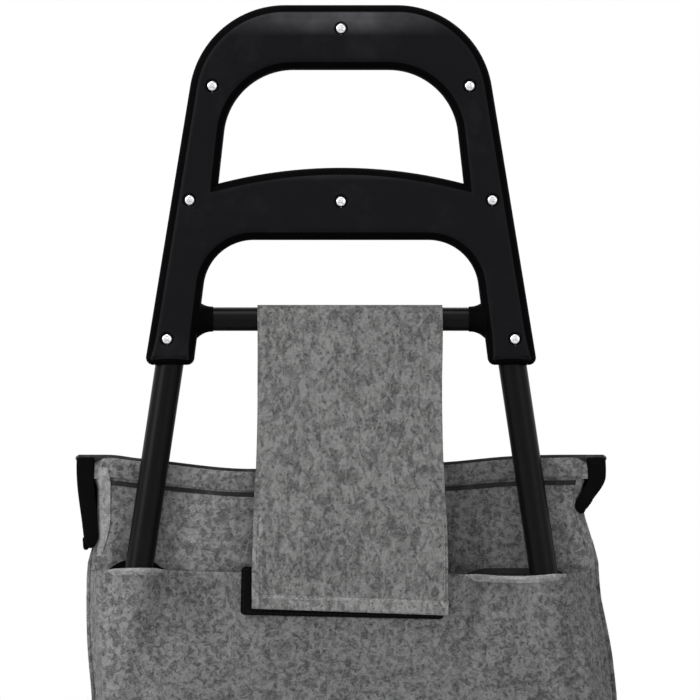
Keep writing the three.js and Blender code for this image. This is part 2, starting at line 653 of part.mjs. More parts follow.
function earGeometry() {
  const low = ARM_Z - ARM_RADIUS;
  const high = ARM_Z + ARM_RADIUS;
  const front = BAG_BACK_Y + EAR_REACH;
  const crown = EAR_PIVOT_RADIUS * EAR_CROWN_SHARE;
  const tip = ARM_RADIUS * EAR_TIP_SHARE;
  const ear = facingSide(
    plate(
      outlinePoints([
        [-EAR_PIVOT_RADIUS, PIVOT_Z + EAR_PIVOT_RADIUS, crown],
        [EAR_PIVOT_RADIUS, PIVOT_Z + EAR_PIVOT_RADIUS, crown],
        [EAR_PIVOT_RADIUS * 2, high + EAR_PIVOT_RADIUS / 2, EAR_PIVOT_RADIUS],
        [front, high, tip],
        [front, low, tip],
        [earHeelY, low, tip],
        [earHeelY, PIVOT_Z - EAR_PIVOT_RADIUS * EAR_HEEL_SHARE, EAR_PIVOT_RADIUS / 3],
        [-EAR_PIVOT_RADIUS, PIVOT_Z - EAR_PIVOT_RADIUS * EAR_REAR_SHARE, EAR_PIVOT_RADIUS / 2],
      ]),
      EAR_THICKNESS,
    ),
  ).translate(EAR_X + EAR_THICKNESS / 2, 0, 0);
  const hole = rod(
    X_AXIS,
    at(0, 0, PIVOT_Z),
    EAR_X - OVERRUN,
    EAR_X + EAR_THICKNESS + OVERRUN,
    PIVOT_RADIUS + CLEARANCE,
  );
  return cut(ear, hole);
}

function pivotBoltGeometry() {
  const tip = LOWER_TUBE_HALF - TUBE_RADIUS;
  const seat = EAR_X + EAR_THICKNESS + CLEARANCE;
  const shank = rod(X_AXIS, at(0, 0, PIVOT_Z), tip, seat + PIVOT_HEAD_HEIGHT / 2, PIVOT_RADIUS, SCREW_SIDES);
  const head = rod(X_AXIS, at(0, 0, PIVOT_Z), seat, seat + PIVOT_HEAD_HEIGHT, PIVOT_HEAD_RADIUS, 6);
  return join(shank, head);
}

function addRunningGear() {
  addPair("axle_bracket", bracketGeometry(), blackPlastic);
  const capEnd = WHEEL_INNER_X + HUB_LENGTH + CLEARANCE + CAP_LENGTH;
  const axleHalf = capEnd - CAP_WALL - CLEARANCE;
  add("axle", rod(X_AXIS, at(0, 0, AXLE_Z), -axleHalf, axleHalf, AXLE_RADIUS), zinc);
  const bored = AXLE_RADIUS + CLEARANCE;
  addPair(
    "axle_spacer",
    turned(
      [
        [bored, EAR_X],
        [SPACER_RADIUS, EAR_X],
        [SPACER_RADIUS, WHEEL_INNER_X - CLEARANCE],
        [bored, WHEEL_INNER_X - CLEARANCE],
      ],
      CYLINDER_SIDES,
      wheelCentre,
    ),
    nylon,
  );
  const capStart = capEnd - CAP_LENGTH;
  const cap = turned(
    [
      [bored, capStart],
      [CAP_RADIUS, capStart],
      [CAP_RADIUS, capStart + CAP_LENGTH / 2],
      [CAP_RADIUS * CAP_DOME_SHARE, capEnd - CAP_WALL / 3],
      [0, capEnd],
      [0, capEnd - CAP_WALL],
      [bored, capEnd - CAP_WALL],
    ],
    CYLINDER_SIDES,
    wheelCentre,
  );
  addPair("axle_cap", cap, blackPlastic);
  addPair("pivot_bolt", pivotBoltGeometry(), zinc);
  addPair("wheel_bush", bushGeometry(), nylon);
  addPair("wheel_rim", rimGeometry(), greyWheel);
  addPair("tyre", tyreGeometry(), tyreRubber);
}

const bushGeometry = () =>
  turned(
    [
      [AXLE_RADIUS + CLEARANCE, WHEEL_INNER_X],
      [BUSH_RADIUS, WHEEL_INNER_X],
      [BUSH_RADIUS, WHEEL_INNER_X + HUB_LENGTH],
      [AXLE_RADIUS + CLEARANCE, WHEEL_INNER_X + HUB_LENGTH],
    ],
    CYLINDER_SIDES,
    wheelCentre,
  );

// Rim, web and hub in one moulding, with a window between each pair of spokes.
function rimGeometry() {
  const bore = BUSH_RADIUS + CLEARANCE;
  const rimInner = TYRE_BEAD_RADIUS - RIM_THICKNESS;
  const halfHub = HUB_LENGTH / 2;
  const halfRim = RIM_WIDTH / 2;
  const halfWeb = WEB_THICKNESS / 2;
  const body = turned(
    [
      [bore, -halfHub],
      [HUB_RADIUS, -halfHub],
      [HUB_RADIUS + halfWeb, -halfWeb],
      [rimInner - halfWeb, -halfWeb],
      [rimInner, -halfRim],
      [TYRE_BEAD_RADIUS, -halfRim],
      [TYRE_BEAD_RADIUS, halfRim],
      [rimInner, halfRim],
      [rimInner - halfWeb, halfWeb],
      [HUB_RADIUS + halfWeb, halfWeb],
      [HUB_RADIUS, halfHub],
      [bore, halfHub],
    ],
    WHEEL_SIDES,
    at(0, 0, 0),
  );
  const low = HUB_RADIUS + halfWeb + WINDOW_MARGIN;
  const high = rimInner - halfWeb - WINDOW_MARGIN;
  const sector = Math.PI / SPOKES;
  const edgeAngle = (r) => sector - Math.asin(SPOKE_WIDTH / 2 / r);
  const polar = (r, angle, radius) => [r * Math.sin(angle), r * Math.cos(angle), radius];
  const windowPoints = outlinePoints([
    polar(low, -edgeAngle(low), WINDOW_CORNER / 2),
    polar(high, -edgeAngle(high), WINDOW_CORNER),
    polar(high / Math.cos(edgeAngle(high) / 2), 0, 0),
    polar(high, edgeAngle(high), WINDOW_CORNER),
    polar(low, edgeAngle(low), WINDOW_CORNER / 2),
  ]);
  const windows = Array.from({ length: SPOKES }, (_, i) =>
    facingSide(plate(windowPoints, WEB_THICKNESS + OVERRUN)).rotateX(((2 * i + 1) * Math.PI) / SPOKES),
  );
  return cut(body, ...windows).translate(WHEEL_X, 0, AXLE_Z);
}

function tyreGeometry() {
  const bead = TYRE_BEAD_RADIUS + CLEARANCE;
  const half = TYRE_WIDTH / 2;
  const beadHalf = RIM_WIDTH / 2;
  const groove = TYRE_GROOVE_WIDTH / 2;
  const side = [
    [bead, beadHalf],
    [bead + TYRE_SHOULDER, half],
    [TYRE_RADIUS - TYRE_SHOULDER, half],
    [TYRE_RADIUS, half - TYRE_SHOULDER],
    [TYRE_RADIUS, groove],
    [TYRE_RADIUS - TYRE_GROOVE_DEPTH, groove / 2],
  ];
  const profile = [...side, ...side.map(([r, x]) => [r, -x]).reverse()];
  return turned(profile, WHEEL_SIDES, at(WHEEL_X, 0, AXLE_Z));
}

// Folding platform

const frontBarY = BAG_FRONT_Y - FRONT_BAR_INSET;
const armBackY = BAG_BACK_Y + ARM_BACK_GAP;
const footY = BAG_FRONT_Y - FOOT_INSET;

function addPlatform() {
  const frame = bentPath([
    [at(ARM_X, armBackY, ARM_Z), 0],
    [at(ARM_X, frontBarY, ARM_Z), ARM_CORNER],
    [at(-ARM_X, frontBarY, ARM_Z), ARM_CORNER],
    [at(-ARM_X, armBackY, ARM_Z), 0],
  ]);
  add("platform_frame", sweep(frame, Z_AXIS, ARM_RADIUS), blackPaint);
  const wireZ = BAG_BASE_Z - CLEARANCE - WIRE_RADIUS;
  const pitch = (frontBarY - ARM_CORNER - armBackY) / WIRE_COUNT;
  for (let i = 0; i < WIRE_COUNT; i++) {
    const y = armBackY + pitch * (i + WIRE_START_SHARE);
    const wire = rod(X_AXIS, at(0, y, wireZ), -ARM_X, ARM_X, WIRE_RADIUS, ROD_SIDES);
    const saddle = (sign) =>
      rod(
        Y_AXIS,
        at(sign * ARM_X, 0, ARM_Z),
        y - ARM_RADIUS * 2,
        y + ARM_RADIUS * 2,
        ARM_RADIUS + CLEARANCE,
      );
    add(`platform_wire_${i + 1}`, cut(wire, saddle(1), saddle(-1)), blackPaint);
  }
  addPair("hinge_ear", earGeometry(), blackPaint);
  const legTop = ARM_Z - ARM_RADIUS - CLEARANCE;
  const loop = bentPath([
    [at(ARM_X, footY, legTop), 0],
    [at(ARM_X, footY, FOOT_BAR_Z), FOOT_CORNER],
    [at(-ARM_X, footY, FOOT_BAR_Z), FOOT_CORNER],
    [at(-ARM_X, footY, legTop), 0],
  ]);
  add("foot_loop", sweep(loop, Y_AXIS, ARM_RADIUS), blackPaint);
  const padRound = FOOT_PAD_HEIGHT * FOOT_PAD_ROUND_SHARE;
  const pad = facingSide(
    plate(
      outlinePoints([
        [footY - FOOT_PAD_DEPTH / 2, 0, padRound / 3],
        [footY + FOOT_PAD_DEPTH / 2, 0, padRound / 3],
        [footY + FOOT_PAD_DEPTH / 2, FOOT_PAD_HEIGHT, padRound],
        [footY - FOOT_PAD_DEPTH / 2, FOOT_PAD_HEIGHT, padRound],
      ]),
      FOOT_PAD_LENGTH,
    ),
  ).translate(ARM_X - FOOT_PAD_OFFSET, 0, 0);
  const barHole = rod(
    X_AXIS,
    at(ARM_X - FOOT_PAD_OFFSET, footY, FOOT_BAR_Z),
    -FOOT_PAD_LENGTH,
    FOOT_PAD_LENGTH,
    ARM_RADIUS + CLEARANCE,
  );
  addPair("foot_pad", cut(pad, barHole), blackPlastic);
  const boardZ = BAG_BASE_Z + FABRIC + CLEARANCE;
  const boardHalf = BAG_BASE_HALF - FABRIC - BOARD_MARGIN;
  const boardBack = BAG_BACK_Y + FABRIC + BOARD_MARGIN;
  const boardFront = BAG_FRONT_Y - FABRIC - BOARD_MARGIN;
  const board = plate(
    outlinePoints([
      [-boardHalf, boardBack, BAG_REAR_CORNER],
      [boardHalf, boardBack, BAG_REAR_CORNER],
      [boardHalf, boardFront, BAG_FRONT_CORNER],
      [-boardHalf, boardFront, BAG_FRONT_CORNER],
    ]),
    BOARD_THICKNESS,
  ).translate(0, 0, boardZ + BOARD_THICKNESS / 2);
  add("base_board", board, blackPlastic);
}

// Bag

const bagShare = (z) => (z - BAG_BASE_Z) / BAG_HEIGHT;
const bagZ = (share) => BAG_BASE_Z + BAG_HEIGHT * share;
const swell = (share) => Math.sin(Math.PI * share) ** 2;

// How full the panels swell at a height share, drawn straight from each of the bag's rings to the next.
function bulge(share) {
  const above = BAG_RING_SHARES.findIndex((ring) => ring >= share);
  if (above < 1) return swell(BAG_RING_SHARES.at(above));
  const low = BAG_RING_SHARES[above - 1];
  const high = BAG_RING_SHARES[above];
  return THREE.MathUtils.mapLinear(share, low, high, swell(low), swell(high));
}

const bagHalf = (share) =>
  THREE.MathUtils.lerp(BAG_BASE_HALF, BAG_RIM_HALF, share) + BAG_SIDE_BELLY * bulge(share);
const bagFront = (share) => BAG_FRONT_Y + BAG_FRONT_BELLY * bulge(share);
// The front panel's outer face at a sideways place.
const bagFace = (x, z) => {
  const share = bagShare(z);
  return bagFront(share) + BAG_FRONT_CROWN * bulge(share) * (1 - (x / bagHalf(share)) ** 2);
};

// One level ring of the bag, drawn in by inset from its outer face.
function bagRing(z, inset) {
  const share = bagShare(z);
  const half = bagHalf(share) - inset;
  const back = BAG_BACK_Y + inset;
  const front = bagFront(share) - inset;
  const corners = outlinePoints([
    [-half, back, BAG_REAR_CORNER - Math.min(inset, FABRIC)],
    [half, back, BAG_REAR_CORNER - Math.min(inset, FABRIC)],
    [half, front, BAG_FRONT_CORNER - inset],
    [-half, front, BAG_FRONT_CORNER - inset],
  ]);
  const cornerStart = half - BAG_FRONT_CORNER;
  const middle = Array.from({ length: FRONT_PANEL_POINTS }, (_, i) =>
    flat(cornerStart * (1 - (2 * (i + 1)) / (FRONT_PANEL_POINTS + 1)), front),
  );
  const firstFrontLeft = corners.findIndex((p, i) => i > corners.length / 2 && p.x < 0);
  const ring = [...corners.slice(0, firstFrontLeft), ...middle, ...corners.slice(firstFrontLeft)];
  return ring.map((p) => {
    const onFront = THREE.MathUtils.smoothstep(p.y, front - BAG_FRONT_CORNER, front);
    const crown = BAG_FRONT_CROWN * bulge(share) * (1 - (p.x / half) ** 2) * onFront;
    return at(p.x, p.y + crown, z);
  });
}

function addBag() {
  const outer = BAG_RING_SHARES.map((share) => bagRing(bagZ(share), 0));
  const inner = BAG_RING_SHARES.slice(1).map((share) => bagRing(bagZ(share), FABRIC));
  const foot = bagRing(BAG_BASE_Z, BAG_FOOT_ROUND);
  const floor = bagRing(BAG_BASE_Z + FABRIC, FABRIC);
  add("bag_body", skin([foot, ...outer, ...inner.reverse(), floor]), melange);
  add("rear_sleeve", sleeveGeometry(), melange);
  add("front_pocket", pocketGeometry(), melange);
}

// A channel open at both ends: a back panel whose sides turn forward to the bag.
function sleeveGeometry() {
  const base = BRACKET_TOP_Z + SLEEVE_BASE_GAP;
  const straightTop = MOUTH_Z - (MOUTH_Z - base) * SLEEVE_TAPER_SHARE;
  const mouthHalf = BAG_BASE_HALF - SLEEVE_MOUTH_INSET;
  const front = BAG_BACK_Y - CLEARANCE;
  const levels = [
    [base, BAG_BASE_HALF],
    [straightTop, BAG_BASE_HALF],
    [MOUTH_Z, mouthHalf],
  ];
  const halfRing = (half, back, corner) => {
    const seam = flat(half, front);
    return [seam, ...cornerPoints(seam, flat(half, back), flat(0, back), corner)];
  };
  const reflect = (points) => points.map((p) => flat(-p.x, p.y)).reverse();
  return skin(
    levels.map(([z, half]) => {
      const outside = halfRing(half, SLEEVE_BACK_Y, SLEEVE_CORNER);
      const inside = halfRing(half - FABRIC, SLEEVE_BACK_Y + FABRIC, SLEEVE_CORNER - FABRIC);
      const ring = [...outside, ...reflect(outside), ...[...inside, ...reflect(inside)].reverse()];
      return ring.map((p) => at(p.x, p.y, z));
    }),
  );
}

// A patch pocket: a front panel, sides and floor, open at the top and backed by the bag.
function pocketGeometry() {
  const block = (half, from, to, back, depth) => {
    const between = BAG_RING_SHARES.map(bagZ).filter((z) => z > from && z < to);
    return skin(
      [from, ...between, to].map((z) => {
        const spans = POCKET_COLUMNS - 1;
        const across = Array.from({ length: POCKET_COLUMNS }, (_, k) => half * (1 - (2 * k) / spans));
        const rear = across.map((x) => at(x, bagFace(x, z) + back, z));
        const front = across.map((x) => at(x, bagFace(x, z) + depth * edgeEase(x, half), z)).reverse();
        return [...rear, ...front];
      }),
    );
  };
  const base = bagZ(POCKET_BASE_SHARE);
  const top = bagZ(POCKET_TOP_SHARE);
  const half = BAG_BASE_HALF - POCKET_SIDE_MARGIN;
  const outer = block(half, base, top, CLEARANCE, POCKET_DEPTH);
  const inner = block(half - FABRIC, base + FABRIC, top + OVERRUN, -OVERRUN, POCKET_DEPTH - FABRIC);
  return cut(outer, inner);
}

// How far the pocket stands out at x, as a share of its depth: full in the middle and less at its sides.
const edgeEase = (x, half) =>
  THREE.MathUtils.lerp(POCKET_EDGE_SHARE, 1, Math.sqrt(Math.max(0, 1 - (x / half) ** 4)));

// Lid

const hingeY = BAG_BACK_Y + LID_BACK_GAP;
const lidUnderZ = RIM_Z + CLEARANCE;
const lidHemZ = lidUnderZ - LID_SKIRT;
const lidTopHalf = BAG_RIM_HALF + LID_TOP_EASE;
const lidHemHalf = BAG_RIM_HALF + LID_HEM_EASE;
const closureBase = RIM_Z - CLOSURE_DROP - CLOSURE_HEIGHT;
const bagPatchY = bagFace(0, closureBase) + CLEARANCE;
const lidPatchY = bagPatchY + TAPE + CLEARANCE;
const lidFrontY = lidPatchY + TAPE + CLEARANCE; // inner face of the front skirt

function lidRing(z, half, back, front, radius) {
  return outlinePoints([
    [-half, back, 0],
    [half, back, 0],
    [half, front, radius],
    [-half, front, radius],
  ]).map((p) => at(p.x, p.y, z));
}

function lidGeometry() {
  const front = lidFrontY + FABRIC;
  const top = lidUnderZ + FABRIC;
  const outer = skin([
    lidRing(lidHemZ, lidHemHalf, hingeY, front, BAG_FRONT_CORNER),
    lidRing(lidUnderZ, lidTopHalf, hingeY, front + LID_EDGE, BAG_FRONT_CORNER),
    lidRing(top, lidTopHalf - LID_EDGE, hingeY, front, BAG_FRONT_CORNER - LID_EDGE),
  ]);
  const slope = (lidTopHalf - lidHemHalf) / LID_SKIRT;
  const cutBack = hingeY - OVERRUN;
  const inner = skin([
    lidRing(
      lidHemZ - OVERRUN,
      lidHemHalf - FABRIC - slope * OVERRUN,
      cutBack,
      front - FABRIC,
      BAG_FRONT_CORNER - FABRIC,
    ),
    lidRing(lidUnderZ, lidTopHalf - FABRIC, cutBack, front + LID_EDGE - FABRIC, BAG_FRONT_CORNER - FABRIC),
  ]);
  return cut(outer, inner);
}

function addLid() {
  add("lid", lidGeometry(), melange);
  const y1 = hingeY - CLEARANCE;
  const y0 = y1 - BINDING_DEPTH;
  const level = (z, outer) => [
    at(lidHemHalf - BINDING_WIDTH, y0, z),
    at(outer, y0, z),
    at(outer, y1, z),
    at(lidHemHalf - BINDING_WIDTH, y1, z),
  ];
  addPair("lid_binding", skin([level(lidHemZ, lidHemHalf), level(lidUnderZ, lidTopHalf)]), blackTape);
  const patch = (y) =>
    new THREE.BoxGeometry(2 * CLOSURE_HALF, TAPE, CLOSURE_HEIGHT).translate(
      0,
      y + TAPE / 2,
      closureBase + CLOSURE_HEIGHT / 2,
    );
  add("lid_hook_patch", patch(lidPatchY), blackTape);
  add("bag_loop_patch", patch(bagPatchY), blackTape);
}

// Hanging loop

const loopCentreRadius = BAR_RADIUS + CLEARANCE + FABRIC / 2;
const sleevePatchY = SLEEVE_BACK_Y - CLEARANCE;
const hookPatchY = sleevePatchY - TAPE - CLEARANCE;
const legY = hookPatchY - TAPE - CLEARANCE - FABRIC / 2;
const loopPivotZ = BAR_Z - LOOP_PIVOT_GAP - FABRIC / 2;
const loopEndZ = MOUTH_Z - LOOP_TAB_OVERLAP;

// A ribbon of fabric along stations of [y, z, half width], with its thickness across the path.
function ribbon(stations, centreX, thickness) {
  return skin(
    stations.map(([y, z, half], i) => {
      const [y0, z0] = stations[Math.max(i - 1, 0)];
      const [y1, z1] = stations[Math.min(i + 1, stations.length - 1)];
      const length = Math.hypot(y1 - y0, z1 - z0);
      const ny = (-(z1 - z0) / length) * (thickness / 2);
      const nz = ((y1 - y0) / length) * (thickness / 2);
      return [
        at(centreX - half, y + ny, z + nz),
        at(centreX + half, y + ny, z + nz),
        at(centreX + half, y - ny, z - nz),
        at(centreX - half, y - ny, z - nz),
      ];
    }),
  );
}

function addHangingLoop() {
  const seamY = BAG_BACK_Y - CLEARANCE - FABRIC / 2;
  const arcSteps = 10;
  const overBar = Array.from({ length: arcSteps + 1 }, (_, i) => {
    const angle = (Math.PI * i) / arcSteps;
    return [loopCentreRadius * Math.cos(angle), BAR_Z + loopCentreRadius * Math.sin(angle), LOOP_TOP_HALF];
  });
  const inner = [[seamY, RIM_Z - LOOP_SEAM, LOOP_TOP_HALF], [seamY, RIM_Z, LOOP_TOP_HALF], ...overBar];
  add("hanging_loop", ribbon(inner, LOOP_OFFSET, FABRIC), melange);
  const outer = [
    [-loopCentreRadius, loopPivotZ + FABRIC / 2, LOOP_TOP_HALF],
    [legY, MOUTH_Z, LOOP_END_HALF],
    [legY, loopEndZ, LOOP_END_HALF],
  ];
  add("hanging_loop_tab", ribbon(outer, LOOP_OFFSET, FABRIC), melange);
  const patch = (half, height, centreX, y, z) =>
    new THREE.BoxGeometry(2 * half, TAPE, height).translate(centreX, y - TAPE / 2, z);
  const patchBase = loopEndZ - PATCH_END_OVERHANG;
  const patchHalf = LOOP_END_HALF + PATCH_SIDE_OVERHANG / 2;
  const patchX = LOOP_OFFSET - PATCH_SIDE_OVERHANG;
  const patchTop = MOUTH_Z - CLEARANCE;
  const patchHeight = Math.min(PATCH_HEIGHT, patchTop - patchBase);
  add(
    "sleeve_loop_patch",
    patch(patchHalf, patchHeight, patchX, sleevePatchY, patchBase + patchHeight / 2),
    blackTape,
  );
  const hookHeight = patchHeight - PATCH_END_OVERHANG - HOOK_PATCH_MARGIN;
  add(
    "tab_hook_patch",
    patch(
      LOOP_END_HALF - HOOK_PATCH_MARGIN,
      hookHeight,
      LOOP_OFFSET,
      hookPatchY,
      loopEndZ + HOOK_PATCH_MARGIN / 2 + hookHeight / 2,
    ),
    blackTape,
  );
}

addHandle();
addFrame();
addRunningGear();
addPlatform();
addBag();
addLid();
addHangingLoop();

// The origin goes to floor level under the middle of the whole trolley.
trolley.updateMatrixWorld(true);
const bounds = new THREE.Box3().setFromObject(trolley, true);
const middle = bounds.getCenter(at(0, 0, 0));
trolley.position.set(-middle.x, -middle.y, -bounds.min.z);

export default trolley;
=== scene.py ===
import math

import bmesh
import bpy
import numpy as np
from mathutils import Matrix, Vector, geometry, noise


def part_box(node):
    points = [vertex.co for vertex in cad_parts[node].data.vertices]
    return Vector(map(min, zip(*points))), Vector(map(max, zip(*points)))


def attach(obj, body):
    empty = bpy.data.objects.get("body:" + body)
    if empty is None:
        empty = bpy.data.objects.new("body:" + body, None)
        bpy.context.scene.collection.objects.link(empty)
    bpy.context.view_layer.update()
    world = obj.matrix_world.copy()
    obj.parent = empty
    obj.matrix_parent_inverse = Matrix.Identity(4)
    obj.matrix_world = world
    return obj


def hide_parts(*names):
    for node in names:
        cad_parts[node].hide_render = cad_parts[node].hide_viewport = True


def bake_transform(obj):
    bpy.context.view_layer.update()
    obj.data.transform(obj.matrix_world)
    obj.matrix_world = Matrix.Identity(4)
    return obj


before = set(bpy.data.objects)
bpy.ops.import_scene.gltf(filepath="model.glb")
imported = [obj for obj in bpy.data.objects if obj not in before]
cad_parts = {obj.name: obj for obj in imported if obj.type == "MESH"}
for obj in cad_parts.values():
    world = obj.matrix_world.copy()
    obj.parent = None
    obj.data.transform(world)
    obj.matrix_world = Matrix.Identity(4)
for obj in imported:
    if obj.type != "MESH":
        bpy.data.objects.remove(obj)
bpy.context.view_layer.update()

MM = 0.001
TAU = 2 * math.pi


def mid(node):
    """Middle of a CAD node's box."""
    low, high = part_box(node)
    return (low + high) / 2


# Places taken from the frame
PLANE_Y = mid("crossbar").y
BAR_Z = mid("crossbar").z
HANDLE_LOW, HANDLE_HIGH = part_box("handle_rear_shell")
TOP_Z = HANDLE_HIGH.z
FRONT_FACE_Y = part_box("handle_front_shell")[1].y
BAG_LOW, BAG_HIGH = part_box("bag_body")
SLEEVE_LOW, SLEEVE_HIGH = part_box("rear_sleeve")
POCKET_LOW, POCKET_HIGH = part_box("front_pocket")
LID_LOW, LID_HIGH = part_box("lid")
AXLE_Z = mid("axle").z
RIM_Z = BAG_HIGH.z - 2 * MM
MOUTH_Z = SLEEVE_HIGH.z
BAG_BACK_Y = BAG_LOW.y
HINGE_Y = LID_LOW.y
LID_FRONT = LID_HIGH.y - 1.5 * MM


# Materials

class Nodes:
    """A material's node tree, with short calls for the nodes that the finishes share."""

    def __init__(self, name):
        self.material = bpy.data.materials.new(name)
        self.material.use_nodes = True
        self.tree = self.material.node_tree
        self.tree.nodes.clear()
        self.out = self.add("OutputMaterial")
        self.shader = self.add("BsdfPrincipled")
        self.put(self.out, 0, self.shader.outputs[0])
        places = self.add("TexCoord").outputs
        self.object, self.uv = places["Object"], places["UV"]
        self.x, self.y, self.z = self.add("SeparateXYZ", Vector=self.object).outputs
        self.u, self.v, _ = self.add("SeparateXYZ", Vector=self.uv).outputs

    def add(self, kind, operation=None, **inputs):
        """A new node. Its inputs are values, or outputs to link."""
        node = self.tree.nodes.new("ShaderNode" + kind)
        if operation:
            node.operation = operation
        for socket, value in inputs.items():
            self.put(node, socket.replace("_", " "), value)
        return node

    def put(self, node, socket, value):
        if hasattr(value, "is_output"):
            self.tree.links.new(value, node.inputs[socket])
        elif value is not None:
            node.inputs[socket].default_value = value

    def stretched(self, *scale):
        return self.add("Mapping", Vector=self.object, Scale=scale).outputs[0]

    def noise(self, scale, detail=3, rough=0.5, vector=None, distortion=0):
        return self.add("TexNoise", Vector=vector or self.object, Scale=scale, Detail=detail, Roughness=rough,
                        Distortion=distortion).outputs["Fac"]

    def ranged(self, value, low, high, to_low=0.0, to_high=1.0):
        ends = {"From_Min": low, "From_Max": high, "To_Min": to_low, "To_Max": to_high}
        return self.add("MapRange", Value=value, **ends).outputs[0]

    def math(self, operation, total, *values):
        """A Math node, or several in a row that take up the values one by one."""
        for value in values or (None,):
            node = self.add("Math", operation)
            self.put(node, 0, total)
            self.put(node, 1, value)
            total = node.outputs[0]
        return total

    def wave(self, value, period):
        return self.math("SINE", self.math("MULTIPLY", value, TAU / period))

    def mixed(self, share, a, b):
        node = self.add("Mix")
        node.data_type = "RGBA"
        self.put(node, "Factor", share)
        for socket, value in ((6, a), (7, b)):
            self.put(node, socket, value if hasattr(value, "is_output") else (*value, 1))
        return node.outputs[2]

    def bump(self, height, strength, distance, under=None):
        return self.add("Bump", Strength=strength, Distance=distance, Height=height, Normal=under).outputs[0]

    def finish(self, colour, rough, normal=None, **constants):
        for socket, value in (("Base Color", colour), ("Roughness", rough), ("Normal", normal)):
            self.put(self.shader, socket, value)
        for name, value in constants.items():
            self.shader.inputs[name.replace("_", " ")].default_value = value
        return self.material


def painted_light_rear(n):
    """Painted light on the rear face: how much paler it is painted along its left edge, and above the sleeve
    beside both uprights.
    """
    rear = n.ranged(n.y, BAG_BACK_Y + 10 * MM, BAG_BACK_Y + 45 * MM, 1, 0)
    above = n.ranged(n.z, MOUTH_Z - 5 * MM, MOUTH_Z + 3 * MM)
    below = n.ranged(n.z, MOUTH_Z - 5 * MM, MOUTH_Z + 3 * MM, 1, 0)
    edge = n.math("MULTIPLY", n.ranged(n.x, -158 * MM, -106 * MM, 0.34, 0), below)
    left = n.math("SUBTRACT", n.ranged(n.x, -66 * MM, -61 * MM, 0.48, 0),
                  n.ranged(n.x, -134 * MM, -131 * MM, 0.26, 0))
    right = n.ranged(n.x, 131 * MM, 134 * MM, 0, 0.3)
    panel = n.math("MULTIPLY", n.math("ADD", left, right), above)
    return n.math("MULTIPLY", n.math("ADD", edge, panel), rear)


def melange(name, dark, light, stretch=1.0, wear_and_painted_light=False):
    """Heather cloth: crisp mottling of a few millimetres, short flecks, and a fine plain weave."""
    n = Nodes(name)
    mottle = n.ranged(n.noise(230, 1.5, 0.6, n.stretched(1, 1, stretch), 0.8), 0.4, 0.6, 0, 0.56)
    fleck = n.ranged(n.noise(560, 2, 0.6, n.stretched(1, 1, 1.9 * stretch)), 0.36, 0.64, 0, 0.4)
    speck = n.ranged(n.noise(370, 1, 0.5, n.stretched(1.2, 1, 0.9)), 0.6, 0.67, 0, -0.42)
    clump = n.ranged(n.noise(95, 2, 0.5, n.stretched(1, 1, stretch), 0.5), 0.36, 0.64, -0.13, 0.13)
    worn = n.ranged(n.noise(14, 3, 0.5), 0.3, 0.7, -0.02, 0.12)
    tone = n.math("ADD", mottle, fleck, speck, worn, clump)
    weave = n.math("MULTIPLY", n.wave(n.u, 1.5 * MM), n.wave(n.v, 1.3 * MM))
    lint = n.noise(2600, 2, 0.7)
    soft = n.bump(n.noise(75, 3, 0.6), 0.45, 2 * MM)
    normal = n.bump(n.math("ADD", weave, lint), 0.5, 0.2 * MM, soft)
    colour = n.mixed(n.ranged(tone, 0, 1), dark, light)
    # painted light: the rear face is painted paler along its left edge and above the sleeve beside the
    # uprights
    if wear_and_painted_light:
        paler = n.add("VectorMath", "SCALE", Scale=n.math("ADD", painted_light_rear(n), 1.0))
        n.put(paler, 0, colour)
        colour = paler.outputs[0]
    return n.finish(colour, 0.92, normal, Sheen_Weight=0.05, Sheen_Roughness=0.5, Specular_IOR_Level=0.12)


def grained(name, colour, worn_colour, rough, grain=1500, depth=0.05, **constants):
    """A moulding: fine grain, slightly uneven gloss and faint worn places."""
    n = Nodes(name)
    wear_and_painted_light = n.ranged(n.noise(38, 4, 0.6), 0.5, 0.78)
    cloud = n.noise(90)
    normal = n.bump(n.noise(grain, 2, 0.6), 0.5, depth * MM, n.bump(cloud, 0.25, 0.25 * MM))
    gloss = n.ranged(cloud, 0.3, 0.7, rough - 0.06, rough + 0.07)
    return n.finish(n.mixed(wear_and_painted_light, colour, worn_colour), gloss, normal, **constants)


def painted(name, colour):
    """Satin paint with a slight orange peel and dust."""
    n = Nodes(name)
    dust = n.ranged(n.noise(55, 5, 0.65), 0.55, 0.85, 0, 0.4)
    return n.finish(n.mixed(dust, colour, [c * 2.4 for c in colour]), n.ranged(dust, 0, 0.4, 0.3, 0.45),
                    n.bump(n.noise(330, 2), 0.35, 0.05 * MM), Specular_IOR_Level=0.09)


def handle_with_painted_highlight(name, colour, wear_and_painted_light):
    """The handle's moulding: fine grain and scuffs, with a painted highlight on the top grip's upper half and
    along the top of the lower grip.
    """
    n = Nodes(name)
    cloud = n.noise(60, 4, 0.6)
    across = n.math("ABSOLUTE", n.x)
    down = n.math("SUBTRACT", TOP_Z, n.z)
    # painted highlight: paler colour on the top grip's upper half and along the top of the lower grip, where
    # the lamps light them
    grip = n.math("MULTIPLY", n.ranged(down, 11 * MM, 21 * MM, 1, 0), n.ranged(down, 3 * MM, 6 * MM),
                  n.ranged(across, 18 * MM, 84 * MM, 1, 0))
    lower = n.math("MULTIPLY", n.ranged(down, 112 * MM, 119 * MM, 0.26, 0),
                   n.ranged(down, 107 * MM, 109 * MM), n.ranged(across, 40 * MM, 78 * MM, 1, 0))
    painted_highlight = n.math("MULTIPLY", n.math("ADD", grip, lower), n.ranged(cloud, 0.3, 0.7, 0.6, 1.15))
    scuff = n.ranged(n.noise(30, 5, 0.65), 0.52, 0.8, 0, 0.11)
    normal = n.bump(n.noise(1300, 2, 0.6), 0.5, 0.05 * MM, n.bump(cloud, 0.25, 0.25 * MM))
    gloss = n.ranged(cloud, 0.3, 0.7, 0.42, 0.56)
    paint = n.mixed(n.math("ADD", painted_highlight, scuff), colour, wear_and_painted_light)
    return n.finish(paint, gloss, normal, Specular_IOR_Level=0.1)


